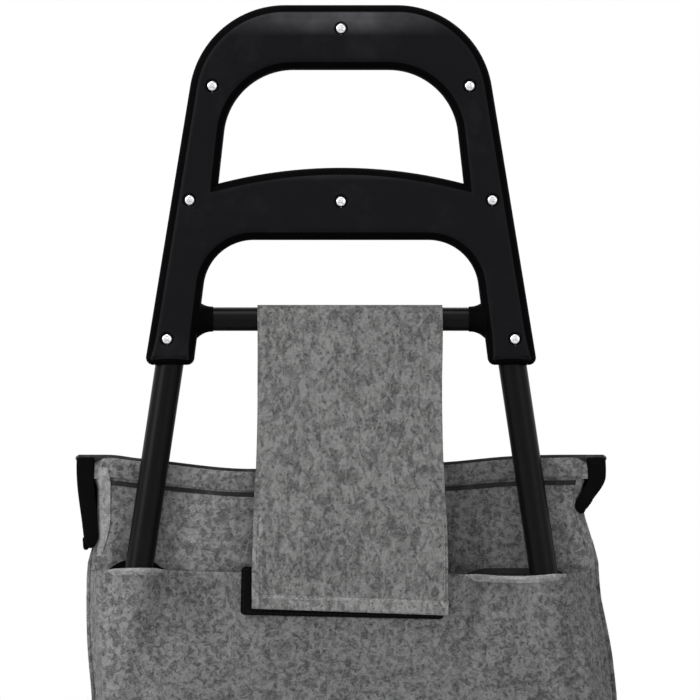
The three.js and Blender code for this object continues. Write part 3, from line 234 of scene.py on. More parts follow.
def plated(name, colour, rough):
    """Plated steel: fine turning marks and dull spots."""
    n = Nodes(name)
    cloud = n.noise(260, 4, 0.6)
    scratch = n.noise(900, 3, 0.6, n.stretched(1, 1, 6))
    dull = n.mixed(n.ranged(cloud, 0.35, 0.75), colour, [c * 0.72 for c in colour])
    gloss = n.ranged(cloud, 0.3, 0.7, rough - 0.06, rough + 0.12)
    return n.finish(dull, gloss, n.bump(scratch, 0.2, 0.03 * MM), Metallic=1.0)


def rubber(name, colour):
    """Tyre rubber: matt, with grey dust in patches and a pebbled skin."""
    n = Nodes(name)
    dust = n.ranged(n.noise(45, 5, 0.65), 0.42, 0.8, 0, 0.6)
    return n.finish(n.mixed(dust, colour, (0.075, 0.072, 0.068)), n.ranged(dust, 0, 0.6, 0.72, 0.92),
                    n.bump(n.noise(1300, 3, 0.6), 0.6, 0.12 * MM), Specular_IOR_Level=0.2)


def hooked(name, colour, pitch, depth):
    """Hook-and-loop tape: close rows of small knots."""
    n = Nodes(name)
    rows = n.add("TexVoronoi", Vector=n.object, Scale=1 / pitch).outputs["Distance"]
    height = n.math("ADD", rows, n.math("MULTIPLY", n.noise(2400, 3, 0.7), 0.6))
    return n.finish(n.mixed(n.ranged(rows, 0.1, 0.7), [c * 2.2 for c in colour], colour), 0.93,
                    n.bump(height, 0.8, depth), Specular_IOR_Level=0.08)


def twill(name, colour, rough):
    """Woven tape with diagonal ribs."""
    n = Nodes(name)
    rib = n.wave(n.math("ADD", n.u, n.v), 1.1 * MM)
    lint = n.ranged(n.noise(120, 4, 0.6), 0.55, 0.8)
    height = n.math("ADD", rib, n.noise(1900, 2, 0.6))
    return n.finish(n.mixed(lint, colour, [c * 2.4 for c in colour]), rough,
                    n.bump(height, 0.6, 0.15 * MM), Specular_IOR_Level=0.08)


def lined(name, colour):
    """Coated lining: smooth, with soft creases."""
    n = Nodes(name)
    crease = n.noise(60, 4, 0.6, None, 0.8)
    height = n.math("ADD", n.math("MULTIPLY", crease, 9), n.wave(n.u, 0.8 * MM))
    return n.finish(n.mixed(n.ranged(crease, 0.35, 0.7), colour, [c * 1.25 for c in colour]), 0.5,
                    n.bump(height, 0.4, 0.2 * MM))


# CLOTH carries painted light: its rear face is painted paler in places
CLOTH = melange("grey_melange", (0.07, 0.07, 0.07), (0.235, 0.235, 0.235), 1.0, True)
# CLOTH_FLAP is the same cloth streaked upright and painted a little lighter, as painted light on the hanging
# loop and its flap
CLOTH_FLAP = melange("grey_melange_flap", (0.085, 0.085, 0.084), (0.265, 0.265, 0.262), 0.6)
# CLOTH_EDGE_HIGHLIGHT is the same cloth painted lighter, for painted highlights on the flap's left fold and
# its hem
CLOTH_EDGE_HIGHLIGHT = melange("grey_melange_edge_highlight", (0.115, 0.115, 0.114), (0.35, 0.35, 0.346), 0.6)
# CLOTH_HEM_HIGHLIGHT is the same cloth painted much lighter, for painted highlights on the left rear corner
# binding and the mouth hems
CLOTH_HEM_HIGHLIGHT = melange("grey_melange_hem_highlight", (0.18, 0.18, 0.18), (0.39, 0.39, 0.39))
LINING = lined("bag_lining", (0.09, 0.09, 0.094))
# the second colour of HANDLE serves both the painted highlight and the scuffs
HANDLE = handle_with_painted_highlight("handle_plastic", (0.0024, 0.0022, 0.0036), (0.066, 0.065, 0.071))
# HANDLE_RIM is the handle plastic painted darker: painted shade on the handle's rounded edge bands; the
# collars and the web between the shells take it too
HANDLE_RIM = grained("handle_rim", (0.0012, 0.0012, 0.0014), (0.002, 0.002, 0.0023), 0.7,
                     Specular_IOR_Level=0.02)
BLACK = grained("moulded_black", (0.007, 0.007, 0.0075), (0.016, 0.016, 0.017), 0.5, 1700, 0.06,
                Specular_IOR_Level=0.22)
WHEEL = grained("wheel_plastic", (0.018, 0.018, 0.019), (0.036, 0.036, 0.037), 0.45, Specular_IOR_Level=0.3)
NYLON = grained("nylon", (0.62, 0.6, 0.55), (0.5, 0.48, 0.43), 0.45, 1600, 0.04)
BOARD = grained("board_plastic", (0.01, 0.01, 0.011), (0.03, 0.03, 0.031), 0.6, 700, 0.12,
                Specular_IOR_Level=0.25)
PAINT = painted("black_paint", (0.0035, 0.0035, 0.004))
ZINC = plated("bright_zinc", (0.9, 0.905, 0.915), 0.26)
RUBBER = rubber("tyre_rubber", (0.014, 0.014, 0.015))
TAPE = twill("black_binding", (0.0014, 0.0014, 0.0015), 0.9)
# PAINTED_SHADOW_GREY is a dark grey that stands for shade: painted shadow under the rim hem and behind the
# right mouth, painted shade along the lid's rear edge
PAINTED_SHADOW_GREY = twill("grey_painted_shadow", (0.036, 0.036, 0.036), 0.9)
LOOPS = hooked("loop_tape", (0.0022, 0.0022, 0.0024), 0.9 * MM, 0.5 * MM)
THREAD = twill("grey_thread", (0.27, 0.27, 0.267), 0.7)
THREAD_DARK = twill("black_thread", (0.008, 0.008, 0.008), 0.8)


# Meshes

def unit(vectors):
    return vectors / np.maximum(np.linalg.norm(vectors, axis=-1, keepdims=True), 1e-12)


def linked(name, data):
    """A new object in the scene."""
    piece = bpy.data.objects.new(name, data)
    bpy.context.scene.collection.objects.link(piece)
    return piece


def mesh_piece(name, verts, faces, material, uvs=None, sharp=None, extra=(), picked=None):
    """A new mesh object, shaded smooth except over edges sharper than sharp degrees."""
    mesh = bpy.data.meshes.new(name)
    mesh.from_pydata([tuple(v) for v in verts], [], faces)
    for m in (material, *extra):
        mesh.materials.append(m)
    if uvs is not None:
        layer = mesh.uv_layers.new(name="UVMap")
        corners = np.zeros(len(mesh.loops), int)
        mesh.loops.foreach_get("vertex_index", corners)
        layer.data.foreach_set("uv", np.asarray(uvs, float)[corners].ravel())
    if picked is not None:
        mesh.polygons.foreach_set("material_index", picked)
    mesh.polygons.foreach_set("use_smooth", [True] * len(mesh.polygons))
    mesh.update()
    if sharp is not None:
        mesh.set_sharp_from_angle(angle=math.radians(sharp))
    return linked(name, mesh)


def weighted(piece):
    """Applies the piece's modifiers, with normals weighted by face size."""
    piece.modifiers.new("Normals", "WEIGHTED_NORMAL").keep_sharp = True
    bpy.context.view_layer.update()
    graph = bpy.context.evaluated_depsgraph_get()
    made = bpy.data.meshes.new_from_object(piece.evaluated_get(graph))
    piece.modifiers.clear()
    piece.data = made
    return piece


def fixed(piece):
    """Turns the faces of a closed mesh outwards."""
    work = bmesh.new()
    work.from_mesh(piece.data)
    bmesh.ops.recalc_face_normals(work, faces=work.faces)
    work.to_mesh(piece.data)
    work.free()
    return piece


def joined(name, pieces):
    """One object from several; each keeps its materials."""
    for o in bpy.context.selected_objects:
        o.select_set(False)
    for o in pieces:
        o.select_set(True)
    bpy.context.view_layer.objects.active = pieces[0]
    bpy.ops.object.join()
    pieces[0].name = name
    pieces[0].data.name = name
    return pieces[0]


def run_along(path):
    """Length of the path up to each of its points."""
    return np.concatenate([[0], np.cumsum(np.linalg.norm(np.diff(path, axis=0), axis=1))])


def sampled(at, run, values):
    return np.stack([np.interp(at, run, values[:, k]) for k in range(3)], 1)


def normals_of(grid, wrap=False):
    """Unit normals of a grid of points, shape (rows, columns, 3)."""
    du = np.roll(grid, -1, 1) - np.roll(grid, 1, 1) if wrap else np.gradient(grid, axis=1)
    return unit(np.cross(du, np.gradient(grid, axis=0)))


def lengths(grid):
    """Arc-length coordinates of a grid along its columns and rows, in metres."""
    du = np.linalg.norm(np.diff(grid, axis=1), axis=2)
    dv = np.linalg.norm(np.diff(grid, axis=0), axis=2)
    u = np.concatenate([np.zeros((grid.shape[0], 1)), np.cumsum(du, 1)], 1)
    v = np.concatenate([np.zeros((1, grid.shape[1])), np.cumsum(dv, 0)], 0)
    return np.stack([u - u[:, u.shape[1] // 2][:, None], v], 2)


def band(a, b, count, closed=True):
    """Quads between two rows of count points that start at a and b."""
    steps = range(count if closed else count - 1)
    return [(a + j, a + (j + 1) % count, b + (j + 1) % count, b + j) for j in steps]


def ring_at(start, count):
    return tuple(range(start, start + count))


def cloth_panel(name, grid, thick, material, inner=None):
    """A closed sheet: the grid is its outer face, and its inner face lies thick further in."""
    rows, cols = grid.shape[:2]
    uv = lengths(grid).reshape(-1, 2)
    verts = np.concatenate([grid.reshape(-1, 3), (grid - normals_of(grid) * thick).reshape(-1, 3)])
    size = rows * cols
    faces, picked = [], []
    for i in range(rows - 1):
        for a, b, c, d in band(i * cols, (i + 1) * cols, cols, False):
            faces += [(a, b, c, d), (a + size, d + size, c + size, b + size)]
            picked += [0, 1]
    edge = [(j, j + 1) for j in range(cols - 1)]
    edge += [(size - cols + j + 1, size - cols + j) for j in range(cols - 1)]
    edge += [((i + 1) * cols, i * cols) for i in range(rows - 1)]
    edge += [((i + 1) * cols - 1, (i + 2) * cols - 1) for i in range(rows - 1)]
    faces += [(b, a, a + size, b + size) for a, b in edge]
    picked += [0] * len(edge)
    uvs = np.concatenate([uv, uv])
    return mesh_piece(name, verts, faces, material, uvs, 50, (inner or material,), picked)


def loft(name, rings, uvs, material, closed=False, sharp=40):
    """A surface through rings of as many points each, closed onto itself or capped at both ends."""
    rings = np.asarray(rings, float)
    turns, count = rings.shape[:2]
    faces = []
    for i in range(turns if closed else turns - 1):
        faces += band(i * count, (i + 1) % turns * count, count)
    if not closed:
        faces += [ring_at(0, count)[::-1], ring_at((turns - 1) * count, count)]
    uvs = np.asarray(uvs).reshape(-1, 2)
    return fixed(mesh_piece(name, rings.reshape(-1, 3), faces, material, uvs, sharp))


def swept(name, path, section, material, closed=False, side=None, scale=1.0):
    """A section of (sideways, upwards) points drawn along a path. side gives the sideways directions if they
    are known, and scale thins the section along the path."""
    path, section = np.asarray(path, float), np.asarray(section, float)
    tangent = unit(np.roll(path, -1, 0) - np.roll(path, 1, 0) if closed else np.gradient(path, axis=0))
    if side is None:
        side = np.zeros_like(path)
        prior = np.cross(tangent[0], (0.0, 0, 1))
        if np.linalg.norm(prior) < 0.1:
            prior = np.cross(tangent[0], (0, 1, 0.01))
        for i, t in enumerate(tangent):
            prior = unit(prior - t * prior.dot(t))
            side[i] = prior
    side = unit(np.asarray(side, float))
    up = unit(np.cross(side, tangent))
    ring = side[:, None] * section[None, :, :1] + up[:, None] * section[None, :, 1:]
    ring *= np.broadcast_to(scale, len(path))[:, None, None]
    uvs = np.stack(np.broadcast_arrays(run_along(path)[:, None], run_along(section)[None, :]), 2)
    return loft(name, ring + path[:, None], uvs, material, closed)


def circle(radius, sides=32):
    return [(radius * math.cos(TAU * i / sides), radius * math.sin(TAU * i / sides)) for i in range(sides)]


def strip_section(half, height, foot, aside, below, steps=6):
    """A flat strip's section in mm: its rounded ends are half and foot deep, and it hangs below the seam."""
    turns = [math.pi * i / steps for i in range(steps + 1)]
    top = [(half * math.cos(a), height - half + half * math.sin(a)) for a in turns]
    base = [(-half * math.cos(a), foot - foot * math.sin(a)) for a in turns]
    return [((x + aside) * MM, (y - below) * MM) for x, y in top + base]


def rounded_corner(before, here, after, radius, step):
    """Points of the arc that rounds a corner, about step degrees apart."""
    b, h, a = (np.array(c, float) for c in (before, here, after))
    u, v = unit(b - h), unit(a - h)
    angle = math.acos(max(-1, min(1, u.dot(v))))
    run = radius / math.tan(angle / 2)
    centre = h + unit(u + v) * (radius / math.sin(angle / 2))
    turn = math.pi - angle
    count = max(2, int(math.degrees(turn) / step))
    start, end = h + u * run - centre, h + v * run - centre
    return [centre + (start * math.sin((1 - t) * turn) + end * math.sin(t * turn)) / math.sin(turn)
            for t in np.arange(count + 1) / count]


def bent(corners, step):
    """A path through corners of (x, y, z, radius), each rounded by an arc."""
    points = [np.array(corners[0][:3], float)]
    for before, here, after in zip(corners, corners[1:], corners[2:]):
        points += rounded_corner(before[:3], here[:3], after[:3], here[3], step)
    return np.array(points + [np.array(corners[-1][:3], float)])


def rounded_polygon(corners, step, edge):
    """A closed outline through (x, z, radius) corners, rounded, and with its long sides divided."""
    out = []
    for i, (x, z, radius) in enumerate(corners):
        if radius > 0:
            after = corners[(i + 1) % len(corners)]
            out += rounded_corner(corners[i - 1][:2], (x, z), after[:2], radius, step)
        else:
            out.append(np.array((x, z), float))
    fine = []
    for p, q in zip(out, out[1:] + out[:1]):
        parts = max(1, int(np.linalg.norm(q - p) / edge))
        fine += [p + (q - p) * k / parts for k in range(parts)]
    return np.array(fine)


def rounded_box(half_x, half_z, radius, step):
    """A rectangle's outline with rounded corners, about the origin."""
    signs = ((1, 1), (1, -1), (-1, -1), (-1, 1))
    return rounded_polygon([(a * half_x, b * half_z, radius) for a, b in signs], step, 4 * MM)


def lathe(name, profile, material, sides, sharp=32, ripple=None):
    """A piece turned about the axle's line: profile of (x, radius), closed onto itself."""
    rings, uvs = [], []
    for i in range(sides):
        a = TAU * i / sides
        for k, (x, radius) in enumerate(profile):
            r = radius + (ripple(i, x, radius) if ripple else 0)
            rings.append((x, PLANE_Y + r * math.cos(a), AXLE_Z + r * math.sin(a)))
            uvs.append((a * max(radius, MM), x + k * MM))
    return loft(name, np.reshape(rings, (sides, -1, 3)), uvs, material, True, sharp)


def area_of(loop):
    x, y = loop[:, 0], loop[:, 1]
    return 0.5 * float(np.sum(x * np.roll(y, -1) - np.roll(x, -1) * y))


def inward(loop, reach):
    """Per-point inset directions towards the material on the loop's left, and how far each may go."""
    step = np.roll(loop, -1, 0) - loop
    size = np.linalg.norm(step, axis=1)
    ahead = unit(step)
    behind = np.roll(ahead, 1, 0)
    left_ahead, left_behind = (np.stack([-v[:, 1], v[:, 0]], 1) for v in (ahead, behind))
    left = unit(left_ahead + left_behind)
    cos_half = np.clip((left * left_ahead).sum(1), 0.6, 1)
    turn = np.arctan2(behind[:, 0] * ahead[:, 1] - behind[:, 1] * ahead[:, 0], (behind * ahead).sum(1))
    span = 0.5 * (size + np.roll(size, 1))
    limit = np.where(turn > 0.02, 0.88 * span / np.maximum(turn, 1e-6), reach)
    limit = np.minimum(limit, reach)
    for _ in range(6):
        limit = np.minimum(limit, (np.roll(limit, 1) + limit + np.roll(limit, -1)) / 3)
    return left / cos_half[:, None], limit


def plate(name, outline, holes, y_face, y_back, profile, material, recesses=(), rim=None, rim_rings=0):
    """A moulded plate seen along y: its face at y_face has edges rounded by profile, pairs of (inset, drop).
    recesses are (x, z, radius, depth) pockets sunk in the face. Its flat back is at y_back. rim is the finish
    of the outermost rim_rings bands of its edges."""
    sign = 1 if y_back > y_face else -1
    loops = [outline if area_of(outline) > 0 else outline[::-1]]
    loops += [h if area_of(h) < 0 else h[::-1] for h in holes]
    verts, faces, picked, inner, outer = [], [], [], [], []
    for loop in loops:
        direction, limit = inward(loop, profile[-1][0])
        rings = [(loop, y_back)]
        for inset, drop in profile:
            share = inset / profile[-1][0]
            rings.append((loop + direction * (limit * share)[:, None], y_face + sign * drop))
        base, count = len(verts), len(loop)
        for points, y in rings:
            verts += [(p[0], y, p[1]) for p in points]
        for r in range(len(rings) - 1):
            faces += band(base + r * count, base + (r + 1) * count, count)
            picked += [int(r < rim_rings)] * count
        outer.append(ring_at(base, count))
        inner.append(ring_at(base + (len(rings) - 1) * count, count))
    for x, z, radius, depth in recesses:
        sides, base = 28, len(verts)
        levels = [(radius + 0.35 * MM, 0), (radius + 0.1 * MM, 0.12 * MM), (radius, 0.4 * MM)]
        levels += [(radius, depth), (radius * 0.5, depth)]
        for r, d in levels:
            verts += [(x + u, y_face + sign * d, z - v) for u, v in circle(r, sides)]
        for r in range(len(levels) - 1):
            faces += band(base + r * sides, base + (r + 1) * sides, sides)
        faces.append(ring_at(base + (len(levels) - 1) * sides, sides))
        inner.append(ring_at(base, sides))
    for group in (inner, outer):
        flat = [[Vector((verts[i][0], verts[i][2], 0)) for i in ring] for ring in group]
        index = [i for ring in group for i in ring]
        faces += [tuple(index[i] for i in tri) for tri in geometry.tessellate_polygon(flat)]
    picked += [0] * (len(faces) - len(picked))
    uvs = [(v[0], v[2]) for v in verts]
    return weighted(fixed(mesh_piece(name, verts, faces, material, uvs, 38, (rim,) if rim else (), picked)))


def refined(node, material, width):
    """A finer copy of a CAD moulding, with rounded edges, in the same place."""
    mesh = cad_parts[node].data.copy()
    work = bmesh.new()
    work.from_mesh(mesh)
    bmesh.ops.remove_doubles(work, verts=work.verts, dist=1e-6)
    bmesh.ops.dissolve_limit(work, angle_limit=math.radians(1), verts=work.verts, edges=work.edges)
    work.to_mesh(mesh)
    work.free()
    mesh.materials.clear()
    mesh.materials.append(material)
    piece = linked("fine_" + node, mesh)
    bevel = piece.modifiers.new("Edges", "BEVEL")
    bevel.width, bevel.segments, bevel.limit_method = width, 3, "ANGLE"
    bevel.angle_limit = math.radians(28)
    mesh.polygons.foreach_set("use_smooth", [True] * len(mesh.polygons))
    return weighted(piece)


def stands(piece, body, *nodes, slot):
    """The piece rides on body and stands for nodes. slot is not used."""
    if nodes:
        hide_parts(*nodes)
    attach(piece, body)
    return piece


class Stitches:
    """Short raised stitches along seams, gathered into one mesh."""

    def __init__(self):
        self.verts, self.faces = [], []

    def line(self, path, normals, raised=0.0, pitch=3.6 * MM, length=2.5 * MM, radius=0.42 * MM):
        """Stitches along a path that is raised along its normals."""
        normals = np.asarray(normals, float)
        path = np.asarray(path, float) + normals * raised
        run = run_along(path)
        count = int(run[-1] / pitch)
        places = (np.arange(count) + 0.5) * (run[-1] / count)
        at, after, before = (sampled(places + shift, run, path) for shift in (0, MM, -MM))
        sink = 0.1 * MM
        for p, t, n in zip(at, unit(after - before), unit(sampled(places, run, normals))):
            s = np.cross(t, n)
            base = len(self.verts)
            for along, thick in ((-0.5, 0.35), (-0.32, 0.9), (0, 1.05), (0.32, 0.9), (0.5, 0.35)):
                for u, v in circle(radius * thick, 6):
                    self.verts.append(p + t * along * length + n * (v + radius * 0.4 - sink) + s * u)
            for r in range(4):
                self.faces += band(base + r * 6, base + (r + 1) * 6, 6)
            self.faces += [ring_at(base, 6)[::-1], ring_at(base + 24, 6)]

    def piece(self, name, material=THREAD):
        uvs = [(v[0], v[2]) for v in self.verts]
        return fixed(mesh_piece(name, self.verts, self.faces, material, uvs))


def smooth(value, low, high):
    """Smooth step from 0 at low to 1 at high, for numbers and arrays."""
    t = np.clip((np.asarray(value, float) - low) / (high - low), 0, 1)
    return t * t * (3 - 2 * t)


def bell(value, centre, width):
    return np.exp(-((np.asarray(value, float) - centre) / width) ** 2)


def rough_field(points, scale, seed, stretch=(1, 1, 1)):
    """Smooth noise at every point of a grid, from -1 to 1."""
    flat = points.reshape(-1, 3) * np.array(stretch) * scale + seed * 7.31
    return np.array([noise.noise(Vector(p)) for p in flat]).reshape(points.shape[:-1])


def fold(u, v, start, end, width, height):
    """A crease from start to end in panel coordinates, highest in its middle, as heights at (u, v)."""
    a, b = np.array(start, float), np.array(end, float)
    d = b - a
    t = ((u - a[0]) * d[0] + (v - a[1]) * d[1]) / d.dot(d)
    inside = np.clip(t, 0, 1)
    off = np.hypot(u - a[0] - inside * d[0], v - a[1] - inside * d[1])
    return height * np.exp(-(off / width) ** 2) * np.sin(math.pi * np.clip(t, 0.02, 0.98)) ** 0.6


def seeded_creases(u, v, rng, count, places, turn, spans, widths, heights, raised):
    """One field per random crease: where it starts, how it turns, and its span, width and height in mm."""
    for _ in range(count):
        u0, v0 = rng.uniform(*places[0]) * MM, rng.uniform(*places[1]) * MM
        tilt = rng.uniform(-turn, turn)
        span = rng.uniform(*spans) * MM
        end = (u0 + span * math.cos(tilt), v0 + span * math.sin(tilt))
        yield fold(u, v, (u0, v0), end, rng.uniform(*widths) * MM,
                   rng.uniform(*heights) * MM * (1 if rng.uniform() > raised else -1))


# Camera, floor and light

def build_stage():
    """A level camera behind the trolley, a white surround, a floor that keeps the shadow, and soft lamps."""
    camera = linked("camera", bpy.data.cameras.new("camera"))
    away, frame_width, sensor = 6.0, 0.4732, 36
    camera.location = (0.0061, PLANE_Y - away, 0.7421)
    camera.rotation_euler = (math.pi / 2, 0, 0)
    camera.data.sensor_width = sensor
    camera.data.lens = sensor * away / frame_width
    bpy.context.scene.camera = camera

    n = Nodes("pale_floor")
    n.finish(n.mixed(n.noise(3, 2), (0.86, 0.86, 0.86), (0.89, 0.89, 0.89)), 0.95)
    distance = n.add("VectorMath", "LENGTH")
    n.put(distance, 0, n.object)
    seen = n.add("LightPath").outputs["Is Camera Ray"]
    share = n.math("MULTIPLY", seen, n.ranged(distance.outputs["Value"], 0.35, 1.1))
    blend = n.add("MixShader")
    for socket, value in enumerate((share, n.shader.outputs[0], n.add("Emission").outputs[0])):
        n.put(blend, socket, value)
    n.put(n.out, 0, blend.outputs[0])
    far = 9
    corners = [(-far, -far, 0), (far, -far, 0), (far, far, 0), (-far, far, 0)]
    mesh_piece("floor", corners, [(0, 1, 2, 3)], n.material)

    world = bpy.data.worlds.new("studio")
    bpy.context.scene.world = world
    world.use_nodes = True
    tree = world.node_tree
    tree.nodes.clear()
    kinds = ("OutputWorld", "MixShader", "LightPath")
    out, mix, path = (tree.nodes.new("ShaderNode" + kind) for kind in kinds)
    for socket, strength in ((1, 0.4), (2, 1.0)):
        shade = tree.nodes.new("ShaderNodeBackground")
        shade.inputs[0].default_value, shade.inputs[1].default_value = (1, 1, 1, 1), strength
        tree.links.new(shade.outputs[0], mix.inputs[socket])
    seen = path.outputs["Is Camera Ray"]
    for ray in ("Is Glossy Ray", "Is Transmission Ray"):
        either = tree.nodes.new("ShaderNodeMath")
        either.operation = "MAXIMUM"
        tree.links.new(seen, either.inputs[0])
        tree.links.new(path.outputs[ray], either.inputs[1])
        seen = either.outputs[0]
    tree.links.new(seen, mix.inputs[0])
    tree.links.new(mix.outputs[0], out.inputs[0])

    aim_at = Vector((0, 0, 0.6))
    for name, place, size, power in (("key", (-2.6, -2.2, 1.8), 1.7, 48), ("fill", (1.9, -2.2, 1.2), 1.8, 9),
                                     ("top", (-0.3, -0.7, 2.7), 1.2, 19), ("rim", (0.8, 2.4, 2.0), 1.6, 24)):
        light = bpy.data.lights.new(name, "AREA")
        light.energy, light.size = power, size
        lamp = linked(name, light)
        lamp.location = place
        lamp.rotation_euler = (aim_at - Vector(place)).to_track_quat("-Z", "Y").to_euler()


# Handle

LEG_END_Z = HANDLE_LOW.z
LEG_HALF = HANDLE_HIGH.x
LEG_WIDTH = 32.8 * MM
OUTER_SLOPE, INNER_SLOPE, TUBE_SLOPE = 0.163, 0.127, 0.15
TUBE_INSET = 16.6 * MM
LOWER_TUBE_X = 152 * MM
TUBE_RADIUS = 9.5 * MM
CROSS_TUBE_RADIUS = 8 * MM
UPPER_GRIP = 43.5 * MM
UPPER_WINDOW = 66.3 * MM
LOWER_WINDOW_TOP = TOP_Z - 158.5 * MM
CROWN_RISE = 10.7 * MM


def leg_outer(z):
    return LEG_HALF - OUTER_SLOPE * (z - LEG_END_Z)


def leg_inner(z):
    return LEG_HALF - LEG_WIDTH - INNER_SLOPE * (z - LEG_END_Z)


def tube_x(z):
    """Sideways place of an upright's splayed part at a height."""
    return LEG_HALF - TUBE_INSET - TUBE_SLOPE * (z - LEG_END_Z)


def tube_place(z):
    """Sideways place of an upright at a height."""
    return np.minimum(tube_x(np.asarray(z, float)), LOWER_TUBE_X)


def ladder_loops():
    """The handle's outline and its upper window; the lower window is open below."""
    right = [(leg_outer(TOP_Z), TOP_Z, 65 * MM), (leg_outer(LEG_END_Z), LEG_END_Z, 5 * MM),
             (leg_inner(LEG_END_Z), LEG_END_Z, 5 * MM),
             (leg_inner(LOWER_WINDOW_TOP), LOWER_WINDOW_TOP, 34 * MM)]
    left = [(-x, z, r) for x, z, r in reversed(right)]
    outline = rounded_polygon(right + left, 3, 5 * MM)
    top = TOP_Z - UPPER_GRIP
    crown_z = top - UPPER_WINDOW
    half = leg_outer(top) - 25.7 * MM
    splay, tall = 0.111, 77
    base = half + splay * tall * MM
    radius = (base ** 2 + CROWN_RISE ** 2) / (2 * CROWN_RISE)
    turns = math.asin(base / radius) * (1 - np.arange(33) / 16)
    arch = [(radius * math.sin(a), crown_z - radius * (1 - math.cos(a)), 0) for a in turns]
    return outline, rounded_polygon([(-half, top, 47 * MM), (half, top, 47 * MM)] + arch, 3, 5 * MM)


SCREWS = [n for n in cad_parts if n.endswith("_screw")]


def screw(node):
    """A pan-head screw with a cross recess; its head faces the user."""
    low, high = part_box(node)
    c = mid(node)
    radius, head, shank, deep = 3.9 * MM, 2.4 * MM, 1.9 * MM, 1.2 * MM
    rings, sides = 22, 64

    def slot(along, across):
        half_wide, half_long = 0.7 * MM, 2.05 * MM
        within = smooth(half_wide - abs(across), 0, 0.25 * MM)
        return float(within * smooth(half_long - abs(along), 0, 0.35 * MM))

    verts = [(c.x, low.y + 1.5 * MM, c.z)]
    faces = [(0, 1 + (i + 1) % sides, 1 + i) for i in range(sides)]
    for r in range(1, rings + 1):
        share = r / rings
        dome = 1.1 * MM * (1 - share ** 2) + 1.3 * MM * (1 - share ** 12)
        for u, v in circle(radius * share, sides):
            verts.append((c.x + u, low.y + head - dome + max(slot(v, u), slot(u, v)) * deep, c.z + v))
    last = 1
    for r in range(1, rings):
        faces += band(last, last + sides, sides)
        last += sides
    for depth, r in ((head, radius), (head, shank), (high.y - low.y, shank)):
        verts += [(c.x + u, low.y + depth, c.z + v) for u, v in circle(r, sides)]
        faces += band(last, last + sides, sides)
        last += sides
    faces.append(ring_at(last, sides))
    piece = fixed(mesh_piece("fine_" + node, verts, faces, ZINC, [(v[0], v[2]) for v in verts], 40))
    return stands(piece, "frame", node, slot="zinc_steel")


def collar(sign, side, groove):
    """Half of the flared collar that holds the crossbar in a leg: sign picks the leg, side the shell."""
    inner = leg_inner(BAR_Z)
    profile = [(sign * (inner - 9.5 * MM), 8.1 * MM)]
    for s in np.linspace(0, 1, 9):
        profile.append((sign * (inner - (9.5 - 12.5 * s) * MM), (8.5 + 6.2 * s ** 2.4) * MM))
    profile += [(profile[-1][0], 8.1 * MM)]
    rings, uvs = [], []
    for a in np.linspace(0, math.pi, 25):
        for x, r in profile:
            flat = min(math.sin(a) * r, abs(FRONT_FACE_Y - PLANE_Y) - 1.6 * MM)
            rings.append((x, PLANE_Y + side * (groove + flat), BAR_Z + math.cos(a) * r))
            uvs.append((x, a * r))
    return loft("collar", np.reshape(rings, (25, -1, 3)), uvs, HANDLE_RIM)


def build_handle():
    outline, window = ladder_loops()
    insets = (0, 0.15, 0.6, 1.3, 2.3, 3.5, 4.9, 6.3, 7.5)
    drops = (7.5, 6.0, 4.5, 3.2, 2.1, 1.25, 0.62, 0.22, 0)
    pillow = [(a * MM, b * MM) for a, b in zip(insets, drops)]
    # the outer bands of each shell's edges take HANDLE_RIM, as painted shade
    groove, rim_rings = 0.35 * MM, 7
    seats = [(mid(node).x, mid(node).z, 4.8 * MM, 3 * MM) for node in SCREWS]
    for tag, side, face_y, sunk in (("rear", -1, HANDLE_LOW.y, seats), ("front", 1, FRONT_FACE_Y, ())):
        back_y = PLANE_Y + side * groove
        shell = plate(f"{tag}_shell", outline, [window], face_y, back_y, pillow, HANDLE, sunk,
                      HANDLE_RIM, rim_rings)
        shell = joined(f"fine_handle_{tag}", [shell] + [collar(sign, side, groove) for sign in (1, -1)])
        stands(shell, "frame", f"handle_{tag}_shell", slot="handle_plastic")
    # the joint between the shells is a narrow web set back from their edges
    loops = []
    for loop, way in ((outline, 1), (window, -1)):
        loop = loop if area_of(loop) * way > 0 else loop[::-1]
        direction, limit = inward(loop, 0.9 * MM)
        loops.append(loop + direction * limit[:, None])
    web = plate("handle_web", loops[0], [loops[1]], PLANE_Y - groove * 1.5, PLANE_Y + groove * 1.5,
                [(0, 0.1 * MM), (0.05 * MM, 0)], HANDLE_RIM)
    stands(web, "frame", slot="handle_plastic")
    for node in SCREWS:
        screw(node)


# Frame tubes and running gear

def tube(node, body, path, radius, sides):
    stands(swept("fine_" + node, path, circle(radius, sides), PAINT), body, node, slot="painted_tube")


def straight_tube(node, body, radius, sides, points):
    """A tube along x as long as a node, in the middle of its box."""
    low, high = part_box(node)
    c = mid(node)
    tube(node, body, [(x, c.y, c.z) for x in np.linspace(low.x, high.x, points)], radius, sides)


def build_tubes():
    for side, sign in (("right", 1), ("left", -1)):
        low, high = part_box(side + "_upright")
        foot_x = sign * LOWER_TUBE_X
        bend_z = LEG_END_Z - (LOWER_TUBE_X - tube_x(LEG_END_Z)) / TUBE_SLOPE
        corners = [(sign * tube_x(high.z), PLANE_Y, high.z, 0), (foot_x, PLANE_Y, bend_z, 180 * MM)]
        path = bent(corners + [(foot_x, PLANE_Y, low.z, 0)], 0.6)
        tube(side + "_upright", "frame", path, TUBE_RADIUS, 44)
    for node in ("crossbar", "lower_brace"):
        straight_tube(node, "frame", CROSS_TUBE_RADIUS, 40, 24)
    middle, half = width_of("axle")
    axle = turned("fine_axle", middle, [(-half, 0.2), (-half, 4), (1 - half, 5)], ZINC, 48)
    stands(axle, "frame", "axle", slot="zinc_steel")


def width_of(node):
    """A node's middle along x in metres, and half its width in mm."""
    low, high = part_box(node)
    return (low.x + high.x) / 2, (high.x - low.x) / 2 / MM


